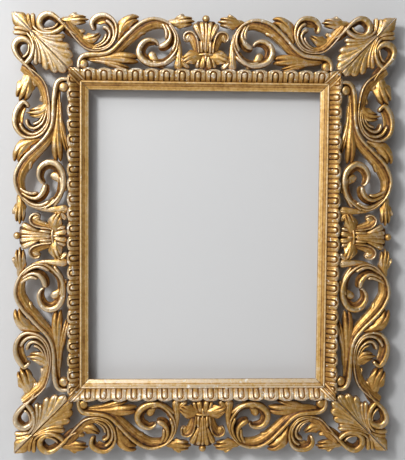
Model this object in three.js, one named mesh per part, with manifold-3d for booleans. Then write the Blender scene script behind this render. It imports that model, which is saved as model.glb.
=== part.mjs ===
// Carved and gilded picture frame: four mitred rails of pierced acanthus foliage on a plain back frame.
// Millimetres, +Z up. The front faces -Y and the back faces the wall at +Y.
// The origin is the middle of the top back rail's back face, where the frame meets the wall.
import * as THREE from 'three';
import { mergeVertices } from 'three/addons/utils/BufferGeometryUtils.js';
import Module from 'manifold-3d';

const wasm = await Module();
wasm.setup();

// Picture and rebate
const pictureWidth = 400;
const pictureHeight = 500;
const rebateLip = 5;
const rebateDepth = 16;

// Rail section: widths run outwards from the sight edge, heights run forwards from the back face
const backRailWidth = 29;
const sightMouldingWidth = 15;
const sightFilletWidth = 6;
const sightFilletHeight = 9;
const sightHollowDepth = 2.5;
const sightBeadWidth = 3;
const sightBeadHeight = 11;
const arris = 1;
const borderThickness = 8;
const eggMouldingWidth = 19;
const eggMouldingHeight = 13;
const eggMouldingShoulder = 9.75;
const eggMouldingFoot = 3;
const eggPitch = 26;
const eggWidth = 12;
const eggLength = 16.5;
const eggThickness = 8;
const scallopWidth = 10;
const scallopDepth = 3.5;
const foliageWidth = 92;
const scrollRelief = 17;
const leafRelief = 13;

// Corner joints
const mitreGap = 0.4;
const keyLength = 22;
const keyEndWidth = 10;
const keyWaistWidth = 5.5;
const keyDepth = 5;

// Turn buttons
const buttonLength = 36;
const buttonWidth = 12;
const buttonThickness = 2.4;
const buttonInset = 8;
const buttonSpacing = 150;

// Hangers
const strapWidth = 13;
const strapThickness = 1.2;
const strapScrewSpacing = 12;
const ringWire = 2.4;
const ringInnerWidth = 17;
const ringDrop = 17;
const ringCornerRadius = 2;
const ringToScrew = 2;
const hangerToButton = 10;

// Screws
const shankDiameter = 3;
const headDiameter = 6.6;
const headHeight = 2;
const headRounding = 1;
const screwDepth = 12;

// Clearances
const partClearance = 0.3;

// Worked out from the driving dimensions
const sightHalfWidth = pictureWidth / 2 - rebateLip;
const sightHalfHeight = pictureHeight / 2 - rebateLip;
const borderOuter = sightMouldingWidth + eggMouldingWidth;
const boardBack = rebateDepth;
const boardFront = boardBack + borderThickness;
const backRailMiddle = rebateLip + backRailWidth / 2;
const shankRadius = shankDiameter / 2;
const wireRadius = ringWire / 2;
const hangerAboveCentre = buttonSpacing - buttonLength / 2 - hangerToButton - ringDrop - ringWire;
const upperStrapScrew = -(ringDrop + wireRadius + ringToScrew + headDiameter / 2);
const strapScrewHeights = [upperStrapScrew, upperStrapScrew - strapScrewSpacing];
const strapLength = strapWidth / 2 - strapScrewHeights[1];

// Finishes
const gilding = { color: 0xb98a45, roughness: 0.42, metalness: 0.75 };
const agedWood = { color: 0x6d4f34, roughness: 0.85, metalness: 0 };
const brass = { color: 0x9c7a3c, roughness: 0.4, metalness: 0.9 };
const steel = { color: 0x74716b, roughness: 0.45, metalness: 0.9 };

// Solids

function toSolid(geometry) {
  const bare = geometry.index ? geometry.clone() : geometry;
  bare.deleteAttribute('normal');
  bare.deleteAttribute('uv');
  const merged = mergeVertices(bare, 1e-4);
  return new wasm.Manifold(new wasm.Mesh({
    numProp: 3,
    vertProperties: new Float32Array(merged.attributes.position.array),
    triVerts: new Uint32Array(merged.index.array),
  }));
}

function toGeometry(solid) {
  const mesh = solid.getMesh();
  const geometry = new THREE.BufferGeometry();
  geometry.setAttribute('position', new THREE.BufferAttribute(mesh.vertProperties, 3));
  geometry.setIndex(new THREE.BufferAttribute(mesh.triVerts, 1));
  return geometry;
}

// A closed skin through rings of points; a closed path joins its last ring to its first
function loft(rings, closedPath = false) {
  const sides = rings[0].length;
  const positions = rings.flat().flatMap((point) => [point.x, point.y, point.z]);
  const triangles = [];
  const spans = closedPath ? rings.length : rings.length - 1;
  for (let ring = 0; ring < spans; ring++) {
    const start = ring * sides;
    const next = ((ring + 1) % rings.length) * sides;
    for (let side = 0; side < sides; side++) {
      const other = (side + 1) % sides;
      triangles.push(start + side, start + other, next + other);
      triangles.push(start + side, next + other, next + side);
    }
  }
  if (!closedPath) {
    const last = (rings.length - 1) * sides;
    for (let side = 1; side < sides - 1; side++) {
      triangles.push(0, side + 1, side);
      triangles.push(last, last + side, last + side + 1);
    }
  }
  const geometry = new THREE.BufferGeometry();
  geometry.setAttribute('position', new THREE.Float32BufferAttribute(positions, 3));
  geometry.setIndex(triangles);
  return geometry;
}

// A straight rail of one section [v, height], cut on both mitres; halfSight is half the sight edge
function mitredRail(section, halfSight) {
  const outline = new THREE.Shape(section.map(([v, height]) => new THREE.Vector2(v, height)));
  const geometry = plate(outline, 1);
  const position = geometry.attributes.position;
  for (let i = 0; i < position.count; i++) {
    const v = position.getX(i);
    const height = position.getY(i);
    const reach = halfSight + v - mitreGap / Math.SQRT2;
    position.setXYZ(i, position.getZ(i) > 0.5 ? reach : -reach, v, height);
  }
  return geometry;
}

function cylinder(radius, low, high, x, y, sides = 8) {
  const geometry = new THREE.CylinderGeometry(radius, radius, high - low, sides);
  return geometry.rotateX(Math.PI / 2).translate(x, y, (low + high) / 2);
}

function plate(outline, depth, curveSegments = 1) {
  return new THREE.ExtrudeGeometry(outline, { depth, curveSegments, bevelEnabled: false });
}

function prism(points, low, high) {
  const outline = new THREE.Shape(points.map(([x, y]) => new THREE.Vector2(x, y)));
  return plate(outline, high - low).translate(0, 0, low);
}

// Foliage pattern of one half rail, drawn on the short rail of the standard picture.
// Points are [u, r]: u runs along the rail from its centre and r outwards from the border's outer edge.
// The corner leaf's root lies on the mitre, which gives the drawn half length at the border's outer edge.
const cornerRoot = [290, 61];
const drawnHalfLength = cornerRoot[0] - cornerRoot[1];
const drawnWidth = 92;
const palmetteEnd = 45;
const cornerStart = 208;

// How much of a longer rail's extra length each place along the half rail has taken up
const stretchShares = [[palmetteEnd, 0], [85, 0.2], [118, 0.25], [150, 0.3], [190, 0.55], [cornerStart, 1]];

// Scrolls: each follows its outer edge, with its width towards the inside of the curl at every point
const scrolls = [
  { // Great scroll
    inner: 1,
    edge: [[207, 23], [190, 27], [172, 27.5], [158, 31], [146, 38.5], [134, 50], [122, 62.5], [110, 73.5],
      [97, 81.5], [82, 85.5], [67, 82.5], [55, 74], [47, 62], [43, 48], [42.5, 34], [46, 23], [53, 16]],
    width: [13, 12, 12, 13, 14, 16, 18, 19, 20, 17, 15, 14, 14, 13, 11, 10, 10],
  },
  { // Ring
    inner: 1,
    edge: [[44, 28], [54, 15.5], [66, 8], [80, 3.5], [95, 4], [107, 10], [115, 20], [117.5, 31], [114, 42],
      [105, 50], [93, 53], [84, 49], [79.5, 41]],
    width: [9, 10, 10, 11, 14, 16, 16, 15, 14, 13, 12, 9, 4],
  },
  { // Corner loop
    inner: -1,
    edge: [[222, 60], [232, 74.5], [242, 84], [252, 90], [263, 92], [273, 88.5], [279, 80], [280, 70],
      [275, 61], [266, 56], [255, 55.5], [244, 59], [233, 66]],
    width: [8, 9, 11, 13, 14, 15, 15, 15, 13, 11, 10, 8, 6],
  },
  { // Reversed scroll
    inner: -1,
    edge: [[236, 76], [222, 59], [215, 50], [208, 41], [200, 33.5], [190, 29], [178, 28.5], [166, 31],
      [156, 37], [149, 46], [145.5, 58], [147, 71], [153, 82], [163, 89.5], [174, 92], [185, 88], [193, 80],
      [196, 70], [192, 62]],
    width: [10, 11, 11, 11, 11, 11, 11, 13, 15, 17, 18, 18, 17, 15, 13, 12, 12, 11, 6],
  },
  { // Palmette hook
    inner: -1,
    edge: [[11, 22], [13, 44], [19, 58], [29, 65.5], [38, 61], [39.5, 53], [35, 45]],
    width: [5, 6, 8, 9, 9, 7, 4],
  },
];

// Single leaflets: root, bend and tip of the midrib, and the full width
const leaflets = [
  { root: [2, 16], bend: [22, 22], tip: [42, 14], width: 13 },
  { root: [45, 28], bend: [46, 14], tip: [50, -2], width: 11 },
  { root: [84, 74], bend: [58, 73], tip: [66, 50], width: 9 },
  { root: [56, 72], bend: [47, 44], tip: [76, 38], width: 10 },
  { root: [101, 9], bend: [99, 20], tip: [91, 24], width: 11 },
  { root: [207, 44], bend: [190, 42], tip: [178, 59], width: 14 },
];

// Leaves of several lobes that fan out from one root; each lobe is its tip and its full width.
// A share of its own moves a leaf's tips on a longer rail, while its root stays on its scroll.
const leaves = [
  { root: [60, 79], rootWidth: 14, lobes: [[[35, 91], 10], [[18, 77], 14]] },
  {
    root: [192, 16], rootWidth: 9,
    lobes: [[[146, -2], 9], [[128, 3], 9], [[112, 12], 11], [[123, 22], 10]],
  },
  { root: [152, 40], rootWidth: 10, lobes: [[[109, 82], 14], [[128, 89], 12]] },
  { root: [247, 77], rootWidth: 14, lobes: [[[198, 78], 14], [[213, 91], 9]], share: 0.65 },
  {
    root: cornerRoot, rootWidth: 12,
    lobes: [[[232, 53], 9], [[226, 38], 9], [[220, 24], 8.5], [[221, 10], 8.5], [[226, -4], 10]],
  },
  { root: [280, 54], rootWidth: 16, lobes: [[[290, 92], 11], [[317, 90], 22]] },
];

// The place along a rail of a drawn point, for a rail of the given half length at the border's outer edge
function alongRail(u, halfLength, ownShare) {
  const scale = foliageWidth / drawnWidth;
  const extraLength = halfLength - scale * drawnHalfLength;
  let share = 0;
  for (let i = 1; i < stretchShares.length; i++) {
    const [fromU, fromShare] = stretchShares[i - 1];
    const [toU, toShare] = stretchShares[i];
    const part = THREE.MathUtils.clamp((u - fromU) / (toU - fromU), 0, 1);
    share += part * (toShare - fromShare);
  }
  return scale * u + extraLength * (ownShare ?? share);
}

function onRail([u, r], halfLength, ownShare) {
  return new THREE.Vector2(alongRail(u, halfLength, ownShare), borderOuter + r * foliageWidth / drawnWidth);
}

// A scroll: a ridge near its outer edge that falls to a lip on the inner edge
function scrollSolid({ edge, width, inner }, halfLength) {
  const ridgePlace = 0.35;
  const lipShare = 0.5;
  const stepsPerPoint = 0.9;
  const scale = foliageWidth / drawnWidth;
  const curve = new THREE.SplineCurve(edge.map((point) => onRail(point, halfLength)));
  const steps = Math.round((edge.length - 1) * stepsPerPoint);
  const rings = [];
  for (let step = 0; step <= steps; step++) {
    const t = step / steps;
    const point = curve.getPoint(t);
    const tangent = curve.getTangent(t);
    const inward = new THREE.Vector2(-tangent.y, tangent.x).multiplyScalar(inner);
    const place = t * (width.length - 1);
    const from = Math.min(Math.floor(place), width.length - 2);
    const across = scale * THREE.MathUtils.lerp(width[from], width[from + 1], place - from);
    const at = (share, height) => new THREE.Vector3(
      point.x + inward.x * across * share, point.y + inward.y * across * share, boardBack + height);
    const ring = [at(0, 0), at(ridgePlace, scrollRelief), at(1, scrollRelief * lipShare), at(1, 0)];
    rings.push(inner > 0 ? ring.reverse() : ring);
  }
  return toSolid(loft(rings));
}

// A leaflet: a round-backed blade that swells towards its tip
function leafletSolid({ root, bend, tip, width }, halfLength) {
  const places = [[0, 0.5], [0.7, 1], [1, 0.55]];
  const crestShare = 0.22;
  const leastCrest = 0.8;
  const scale = foliageWidth / drawnWidth;
  const [start, middle, end] = [root, bend, tip].map((point) => onRail(point, halfLength));
  const curve = new THREE.QuadraticBezierCurve(start, middle, end);
  const rings = places.map(([t, swell]) => {
    const point = curve.getPoint(t);
    const tangent = curve.getTangent(t);
    const across = scale * width * swell;
    const at = (share, height) => new THREE.Vector3(
      point.x - tangent.y * across * share, point.y + tangent.x * across * share, boardBack + height);
    const crest = leafRelief * THREE.MathUtils.lerp(leastCrest, 1, swell);
    return [at(-0.5, 0), at(-crestShare, crest), at(crestShare, crest), at(0.5, 0)].reverse();
  });
  return toSolid(loft(rings));
}

// A lobed leaf: every lobe has a crest on its midrib, and valleys run between lobes towards the root
function leafSolid({ root, rootWidth, lobes, share }, halfLength) {
  const shoulderPlace = 0.78;
  const crestPlace = 0.62;
  const valleyPlace = 0.62;
  const edgeShare = 0.45;
  const scale = foliageWidth / drawnWidth;
  const base = onRail(root, halfLength);
  const edge = boardBack + leafRelief * edgeShare;
  const crest = boardBack + leafRelief;
  const shapes = lobes.map(([tip, width]) => {
    const end = onRail(tip, halfLength, share);
    const along = end.clone().sub(base);
    const side = new THREE.Vector2(-along.y, along.x).normalize();
    const at = (place, offset) => base.clone().addScaledVector(along, place).addScaledVector(side, offset);
    const half = scale * width / 2;
    const near = at(shoulderPlace, -half);
    const far = at(shoulderPlace, half);
    return { end, side, near, far, crest: at(crestPlace, 0) };
  });
  const [firstReach, secondReach] = shapes.map((shape) => shape.end.clone().sub(base));
  const ordered = firstReach.cross(secondReach) > 0 ? shapes : shapes.reverse();
  const last = ordered[ordered.length - 1];
  const rootReach = scale * rootWidth / 2;
  const outline = [base.clone().addScaledVector(ordered[0].side, -rootReach)];
  const lobeStarts = [];
  ordered.forEach((lobe, i) => {
    lobeStarts.push(outline.length - 1);
    outline.push(lobe.near, lobe.end, lobe.far);
    if (i < ordered.length - 1) {
      const between = lobe.far.clone().add(ordered[i + 1].near).multiplyScalar(0.5);
      outline.push(base.clone().lerp(between, valleyPlace));
    }
  });
  outline.push(base.clone().addScaledVector(last.side, rootReach));

  const count = outline.length;
  const positions = [];
  outline.forEach((point) => positions.push(point.x, point.y, boardBack));
  outline.forEach((point) => positions.push(point.x, point.y, edge));
  ordered.forEach((lobe) => positions.push(lobe.crest.x, lobe.crest.y, crest));
  positions.push(base.x, base.y, crest, base.x, base.y, boardBack);
  const rootTop = 2 * count + ordered.length;
  const rootBottom = rootTop + 1;
  const triangles = [];
  for (let i = 0; i < count - 1; i++) {
    triangles.push(i, i + 1, count + i + 1, i, count + i + 1, count + i);
    triangles.push(rootBottom, i + 1, i);
  }
  triangles.push(count - 1, rootBottom, rootTop, count - 1, rootTop, 2 * count - 1);
  triangles.push(rootBottom, 0, count, rootBottom, count, rootTop);
  ordered.forEach((lobe, i) => {
    const start = count + lobeStarts[i];
    const ridge = 2 * count + i;
    for (let step = 0; step < 4; step++) {
      triangles.push(ridge, start + step, start + step + 1);
    }
    triangles.push(rootTop, start, ridge, rootTop, ridge, start + 4);
  });
  const geometry = new THREE.BufferGeometry();
  geometry.setAttribute('position', new THREE.Float32BufferAttribute(positions, 3));
  geometry.setIndex(triangles);
  return toSolid(geometry);
}

// The palmette's vase and the ball on top, on the rail's centre line; the vase is [r, half width, swell]
function palmetteSolids() {
  const vase = [
    [-4, 8, 0.5], [6, 12, 0.8], [24, 11, 0.8], [48, 14, 0.9], [66, 18, 1], [78, 22, 0.9], [83, 15, 0.6],
  ];
  const ballRadius = 6;
  const ballPlace = 84;
  const crestShare = 0.6;
  const scale = foliageWidth / drawnWidth;
  const rings = vase.map(([r, half, swell]) => {
    const v = borderOuter + r * scale;
    const crest = boardBack + swell * scrollRelief;
    const reach = half * scale;
    return [
      new THREE.Vector3(-reach, v, boardBack),
      new THREE.Vector3(reach, v, boardBack),
      new THREE.Vector3(reach * crestShare, v, crest),
      new THREE.Vector3(-reach * crestShare, v, crest),
    ].reverse();
  });
  const ball = new THREE.SphereGeometry(ballRadius * scale, 10, 6);
  ball.translate(0, borderOuter + ballPlace * scale, boardBack + ballRadius * scale);
  return [toSolid(loft(rings)), toSolid(ball)];
}

// The eye that ends the great scroll beside the corner leaf
function voluteSolid(halfLength) {
  const eyePlace = [205, 8];
  const eyeRadius = 10 * foliageWidth / drawnWidth;
  const place = onRail(eyePlace, halfLength);
  return toSolid(cylinder(eyeRadius, boardBack, boardBack + scrollRelief, place.x, place.y, 14));
}

// Rails

// Pierced foliage that grows out of a plain border; a tongue inside the border holds every root
function carvedRail(halfSight) {
  const halfLength = halfSight + borderOuter;
  const tongue = borderThickness / 4;
  const reach = borderOuter + 2 * foliageWidth;
  const top = boardBack + 2 * scrollRelief;
  const half = wasm.Manifold.union([
    ...scrolls.map((scroll) => scrollSolid(scroll, halfLength)),
    ...leaflets.map((leaflet) => leafletSolid(leaflet, halfLength)),
    ...leaves.map((leaf) => leafSolid(leaf, halfLength)),
    voluteSolid(halfLength),
  ]);
  const foliage = wasm.Manifold.union([half, half.mirror([1, 0, 0]), ...palmetteSolids()]);
  const foliageSpace = toSolid(mitredRail([
    [borderOuter - tongue, boardBack + tongue],
    [borderOuter, boardBack + tongue],
    [borderOuter, boardBack],
    [reach, boardBack],
    [reach, top],
    [borderOuter + partClearance, top],
    [borderOuter + partClearance, boardFront - tongue],
    [borderOuter - tongue, boardFront - tongue],
  ], halfSight));
  const border = toSolid(mitredRail([
    [sightMouldingWidth, boardBack],
    [borderOuter, boardBack],
    [borderOuter, boardFront],
    [sightMouldingWidth, boardFront],
  ], halfSight));
  return foliage.intersect(foliageSpace).add(border);
}

// Egg moulding: a quarter-round that falls towards the sight, with eggs on it and a notch between two eggs
function eggMoulding(halfSight) {
  const inner = sightMouldingWidth;
  const middle = inner + eggMouldingWidth / 2;
  const crest = boardFront + eggMouldingHeight;
  const shoulder = boardFront + eggMouldingShoulder;
  const eggTilt = Math.atan2(eggMouldingShoulder - eggMouldingFoot, eggMouldingWidth / 2) / 2;
  const body = toSolid(mitredRail([
    [inner, boardFront],
    [borderOuter, boardFront],
    [borderOuter, crest - arris],
    [borderOuter - scallopDepth, crest],
    [middle, shoulder],
    [inner, boardFront + eggMouldingFoot],
  ], halfSight));
  const count = 2 * Math.round((halfSight + inner) / eggPitch);
  const pitch = 2 * (halfSight + inner) / count;
  const eggs = [];
  const notches = [];
  for (let i = 0; i < count; i++) {
    const u = (i + 0.5 - count / 2) * pitch;
    const egg = new THREE.SphereGeometry(1, 6, 3).rotateX(Math.PI / 2);
    egg.scale(eggWidth / 2, eggLength / 2, eggThickness / 2).rotateX(eggTilt);
    eggs.push(toSolid(egg.translate(u, middle, shoulder)));
    if (i > 0) {
      const dart = u - pitch / 2;
      notches.push(toSolid(prism([
        [dart, borderOuter - scallopDepth],
        [dart + scallopWidth / 2, borderOuter + arris],
        [dart - scallopWidth / 2, borderOuter + arris],
      ], boardFront + eggMouldingFoot, crest + eggMouldingHeight)));
    }
  }
  return wasm.Manifold.union([body, ...eggs]).subtract(wasm.Manifold.union(notches));
}

// Sight moulding: a flat fillet on the sight edge, a hollow and a bead; its lip covers the picture's edge
function sightMoulding(halfSight) {
  const outer = sightMouldingWidth;
  const beadInner = outer - arris - sightBeadWidth;
  const bead = boardBack + sightBeadHeight;
  const fillet = boardBack + sightFilletHeight;
  return toSolid(mitredRail([
    [0, boardBack],
    [outer, boardBack],
    [outer, bead - arris],
    [outer - arris, bead],
    [beadInner, bead],
    [beadInner - arris / 2, fillet - arris],
    [(sightFilletWidth + beadInner) / 2, fillet - sightHollowDepth],
    [sightFilletWidth, fillet],
    [arris, fillet],
    [0, fillet - arris],
  ], halfSight));
}

function keyOutline(clearance) {
  const end = keyLength / 2 + clearance;
  const endHalf = keyEndWidth / 2 + clearance;
  const waist = keyWaistWidth / 2 + clearance;
  return [[-end, -endHalf], [0, -waist], [end, -endHalf], [end, endHalf], [0, waist], [-end, endHalf]];
}

// Back rail: a plain mitred batten with a recess for half of each key and a pilot hole for each screw
function backRail(halfSight, screwPlaces) {
  const outer = rebateLip + backRailWidth;
  const batten = toSolid(mitredRail([
    [rebateLip, 0],
    [outer, 0],
    [outer, rebateDepth],
    [rebateLip, rebateDepth],
  ], halfSight));
  const cuts = screwPlaces.map(([u, v]) => toSolid(
    cylinder(shankRadius + partClearance, -partClearance, screwDepth + partClearance, u, v)));
  for (const end of [-1, 1]) {
    const recess = prism(keyOutline(partClearance), -partClearance, keyDepth + partClearance);
    recess.rotateZ(-end * Math.PI / 4);
    cuts.push(toSolid(recess.translate(end * (halfSight + backRailMiddle), backRailMiddle, 0)));
  }
  return batten.subtract(wasm.Manifold.union(cuts));
}

// Fittings on the back: x and y lie in the frame's plane, and depth runs backwards from the back face

// A round-headed wood screw, its head's underside at the given distance behind the back face
function screwSolid(underside) {
  const headRadius = headDiameter / 2;
  const head = new THREE.CylinderGeometry(headRadius - headRounding, headRadius, headHeight, 10);
  head.rotateX(-Math.PI / 2).translate(0, 0, -underside - headHeight / 2);
  const shank = cylinder(shankRadius, -underside - headHeight / 2, screwDepth, 0, 0);
  return toSolid(head).add(toSolid(shank));
}

// A flat bar with round ends and a hole for its screw
function turnButtonSolid() {
  const radius = buttonWidth / 2;
  const straight = buttonLength / 2 - radius;
  const outline = new THREE.Shape();
  outline.absarc(straight, 0, radius, -Math.PI / 2, Math.PI / 2);
  outline.absarc(-straight, 0, radius, Math.PI / 2, 1.5 * Math.PI);
  const bar = plate(outline, buttonThickness, 5);
  bar.translate(0, 0, -partClearance - buttonThickness);
  const hole = cylinder(shankRadius + partClearance, -3 * buttonThickness, buttonThickness, 0, 0);
  return toSolid(bar).subtract(toSolid(hole));
}

// A strap whose upper end rolls into a knuckle round the ring's bar, with the knuckle's axis at y = 0
const knuckleBore = wireRadius + partClearance;
const knuckleRadius = knuckleBore + strapThickness;
const knuckleDepth = strapThickness + partClearance + wireRadius;

function hangerStrapSolid() {
  const radius = strapWidth / 2;
  const outline = new THREE.Shape();
  outline.moveTo(-radius, 0);
  outline.absarc(0, radius - strapLength, radius, Math.PI, 2 * Math.PI);
  outline.lineTo(radius, 0);
  const tongue = plate(outline, strapThickness, 6);
  tongue.translate(0, 0, -strapThickness);
  const knuckle = new THREE.CylinderGeometry(knuckleRadius, knuckleRadius, strapWidth, 12);
  knuckle.rotateZ(Math.PI / 2).translate(0, 0, -knuckleDepth);
  const bore = new THREE.CylinderGeometry(knuckleBore, knuckleBore, 2 * strapWidth, 12);
  bore.rotateZ(Math.PI / 2).translate(0, 0, -knuckleDepth);
  const behindFace = prism([
    [-strapWidth, -2 * strapLength],
    [strapWidth, -2 * strapLength],
    [strapWidth, strapLength],
    [-strapWidth, strapLength],
  ], -4 * knuckleDepth, 0);
  const holes = strapScrewHeights.map((y) => toSolid(
    cylinder(shankRadius + partClearance, -4 * strapThickness, strapThickness, 0, y)));
  return toSolid(tongue).add(toSolid(knuckle)).intersect(toSolid(behindFace))
    .subtract(wasm.Manifold.union([toSolid(bore), ...holes]));
}

// A round wire bent into a D: a straight bar in the knuckle, short sides and a half-round loop below
function dRingSolid() {
  const half = ringInnerWidth / 2 + wireRadius;
  const bend = ringCornerRadius;
  const arcSteps = 10;
  const path = [[-half + bend, 0], [half - bend, 0], [half, -bend]];
  for (let step = 0; step <= arcSteps; step++) {
    const angle = -Math.PI * step / arcSteps;
    path.push([half * Math.cos(angle), half - ringDrop + half * Math.sin(angle)]);
  }
  path.push([-half, -bend]);
  const sides = 8;
  const count = path.length;
  const rings = path.map(([x, y], i) => {
    const here = new THREE.Vector2(x, y);
    const before = new THREE.Vector2(...path[(i + count - 1) % count]).sub(here).normalize();
    const after = new THREE.Vector2(...path[(i + 1) % count]).sub(here).normalize();
    const along = after.clone().sub(before).normalize();
    const across = new THREE.Vector2(-along.y, along.x);
    const widen = 1 / Math.max(0.5, Math.abs(across.dot(new THREE.Vector2(-after.y, after.x))));
    return Array.from({ length: sides }, (_, side) => {
      const angle = 2 * Math.PI * side / sides;
      const out = wireRadius * widen * Math.cos(angle);
      const back = knuckleDepth - wireRadius * Math.sin(angle);
      return new THREE.Vector3(x + across.x * out, y + across.y * out, -back);
    });
  });
  return toSolid(loft(rings, true));
}

// Assembly

function named(name, solid, finish) {
  const mesh = new THREE.Mesh(toGeometry(solid), new THREE.MeshStandardMaterial(finish));
  mesh.name = name;
  return mesh;
}

// Inside this group X runs right, Y up and Z out of the front; the back face lies on Z = 0
const face = new THREE.Group();
face.rotation.x = Math.PI / 2;
face.position.z = -(sightHalfHeight + backRailMiddle);

// The left and right rails carry the fittings; up is the way along such a rail that points upwards
const buttonMiddle = rebateLip + buttonInset;
const buttonHeights = { upper: buttonSpacing, middle: 0, lower: -buttonSpacing };
const buttonScrew = screwSolid(2 * partClearance + buttonThickness);
const strapScrew = screwSolid(partClearance + strapThickness);
const keySolid = toSolid(prism(keyOutline(0), 0, keyDepth));
const keyX = sightHalfWidth + backRailMiddle;
const keyY = sightHalfHeight + backRailMiddle;
const sides = [
  { name: 'top', turn: 0, halfSight: sightHalfWidth, reach: sightHalfHeight },
  { name: 'left', turn: 1, halfSight: sightHalfHeight, reach: sightHalfWidth, up: 1 },
  { name: 'bottom', turn: 2, halfSight: sightHalfWidth, reach: sightHalfHeight },
  { name: 'right', turn: 3, halfSight: sightHalfHeight, reach: sightHalfWidth, up: -1 },
];

for (const { name, turn, halfSight, reach, up } of sides) {
  const quarter = new THREE.Group();
  quarter.rotation.z = turn * Math.PI / 2;
  const rail = new THREE.Group();
  rail.position.y = reach;
  quarter.add(rail);
  face.add(quarter);

  const screwPlaces = [];
  if (up) {
    for (const [place, height] of Object.entries(buttonHeights)) {
      const fitting = new THREE.Group();
      fitting.position.set(up * height, buttonMiddle, 0);
      fitting.add(named(`turn_button_${name}_${place}`, turnButtonSolid(), brass));
      fitting.add(named(`button_screw_${name}_${place}`, buttonScrew, brass));
      rail.add(fitting);
      screwPlaces.push([up * height, buttonMiddle]);
    }
    for (const height of strapScrewHeights) {
      screwPlaces.push([up * (hangerAboveCentre + height), backRailMiddle]);
    }
  }
  rail.add(named(`back_rail_${name}`, backRail(halfSight, screwPlaces), agedWood));
  rail.add(named(`carved_rail_${name}`, carvedRail(halfSight), gilding));
  rail.add(named(`egg_moulding_${name}`, eggMoulding(halfSight), gilding));
  rail.add(named(`sight_moulding_${name}`, sightMoulding(halfSight), gilding));
}

for (const [name, sideX, sideY] of [
  ['top_left', -1, 1], ['top_right', 1, 1], ['bottom_right', 1, -1], ['bottom_left', -1, -1],
]) {
  const key = named(`corner_key_${name}`, keySolid, agedWood);
  key.position.set(sideX * keyX, sideY * keyY, 0);
  key.rotation.z = -sideX * sideY * Math.PI / 4;
  face.add(key);
}

for (const [name, sideX] of [['left', -1], ['right', 1]]) {
  const hanger = new THREE.Group();
  hanger.position.set(sideX * keyX, hangerAboveCentre, 0);
  hanger.add(named(`hanger_strap_${name}`, hangerStrapSolid(), steel));
  hanger.add(named(`d_ring_${name}`, dRingSolid(), steel));
  strapScrewHeights.forEach((y, i) => {
    const place = ['upper', 'lower'][i];
    const screw = named(`hanger_screw_${name}_${place}`, strapScrew, steel);
    screw.position.y = y;
    hanger.add(screw);
  });
  face.add(hanger);
}

const frame = new THREE.Group();
frame.add(face);

export default frame;
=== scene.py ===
"""A carved and gilded picture frame: pierced acanthus rails round an egg moulding and a sight moulding.

Every rail is worked out in its own coordinates, in millimetres: u runs along the rail from its middle,
v runs outwards from the sight edge, and height runs forwards from the plane of the frame's back.
"""

import logging
import math
from dataclasses import dataclass, field
from enum import Enum

import bpy
import numpy as np
from mathutils import Matrix, Vector


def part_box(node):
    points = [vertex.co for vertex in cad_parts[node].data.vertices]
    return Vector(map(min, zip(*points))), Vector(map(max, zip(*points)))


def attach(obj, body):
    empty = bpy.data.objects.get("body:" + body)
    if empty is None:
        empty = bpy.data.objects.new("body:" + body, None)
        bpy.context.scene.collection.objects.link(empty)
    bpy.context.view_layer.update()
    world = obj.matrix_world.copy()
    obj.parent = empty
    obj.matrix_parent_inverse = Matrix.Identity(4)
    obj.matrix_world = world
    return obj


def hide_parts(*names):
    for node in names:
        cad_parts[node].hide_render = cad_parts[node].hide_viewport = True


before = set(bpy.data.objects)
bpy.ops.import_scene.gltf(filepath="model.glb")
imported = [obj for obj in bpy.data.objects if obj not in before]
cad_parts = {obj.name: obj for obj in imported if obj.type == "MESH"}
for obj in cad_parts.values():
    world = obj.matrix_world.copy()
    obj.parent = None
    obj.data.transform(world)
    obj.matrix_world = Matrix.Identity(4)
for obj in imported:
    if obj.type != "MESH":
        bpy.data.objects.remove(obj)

LOG = logging.getLogger("picture_frame")
MM = 0.001
BODY = "frame"
SEED = 1870
STRAND_PLACES = 27
LOBE_PLACES = 19
LEAST_STATIONS = 26
SHARP_ANGLE = 42.0
LOOKS_BACK = 0.9
# Heights above a board's back: the rise of a strand's own back, the foot of a leaf's toes, and the limit
# under which a point belongs to a back
BACK_RISE = 0.4
TOE_FOOT = 0.7
BACK_LIMIT = 0.8
Knots = tuple[tuple[float, float, float], ...]
Place = tuple[float, float]
Span = tuple[float, float, float]
Colour = tuple[float, float, float, float]


class Side(Enum):
    """The four sides of the frame; the value counts quarter turns from the top."""

    TOP = 0
    LEFT = 1
    BOTTOM = 2
    RIGHT = 3

    @property
    def label(self) -> str:
        """The side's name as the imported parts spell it."""
        return self.name.lower()

    @property
    def upright(self) -> bool:
        """True for the two long side rails."""
        return self in (Side.LEFT, Side.RIGHT)


@dataclass(frozen=True)
class FrameSizes:
    """Main sizes of the frame in millimetres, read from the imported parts."""

    sight_half_width: float
    sight_half_height: float
    centre_height: float
    sight_moulding_width: float
    border_outer: float
    foliage_outer: float
    board_back: float
    board_front: float
    egg_crest: float
    sight_crest: float

    @classmethod
    def from_frame(cls) -> "FrameSizes":
        """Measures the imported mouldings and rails.

        Returns:
            The sizes of the frame, in millimetres.
        """
        top_low, top_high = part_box("sight_moulding_top")
        left_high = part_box("sight_moulding_left")[1]
        bottom_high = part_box("sight_moulding_bottom")[1]
        egg_low, egg_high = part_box("egg_moulding_top")
        rail_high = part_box("carved_rail_top")[1]
        return cls(
            sight_half_width=-left_high.x / MM,
            sight_half_height=(top_low.z - bottom_high.z) / 2 / MM,
            centre_height=(top_low.z + bottom_high.z) / 2 / MM,
            sight_moulding_width=(top_high.z - top_low.z) / MM,
            border_outer=(egg_high.z - top_low.z) / MM,
            foliage_outer=(rail_high.z - top_low.z) / MM,
            board_back=-rail_high.y / MM,
            board_front=-egg_high.y / MM,
            egg_crest=-egg_low.y / MM,
            sight_crest=-top_low.y / MM,
        )


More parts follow.
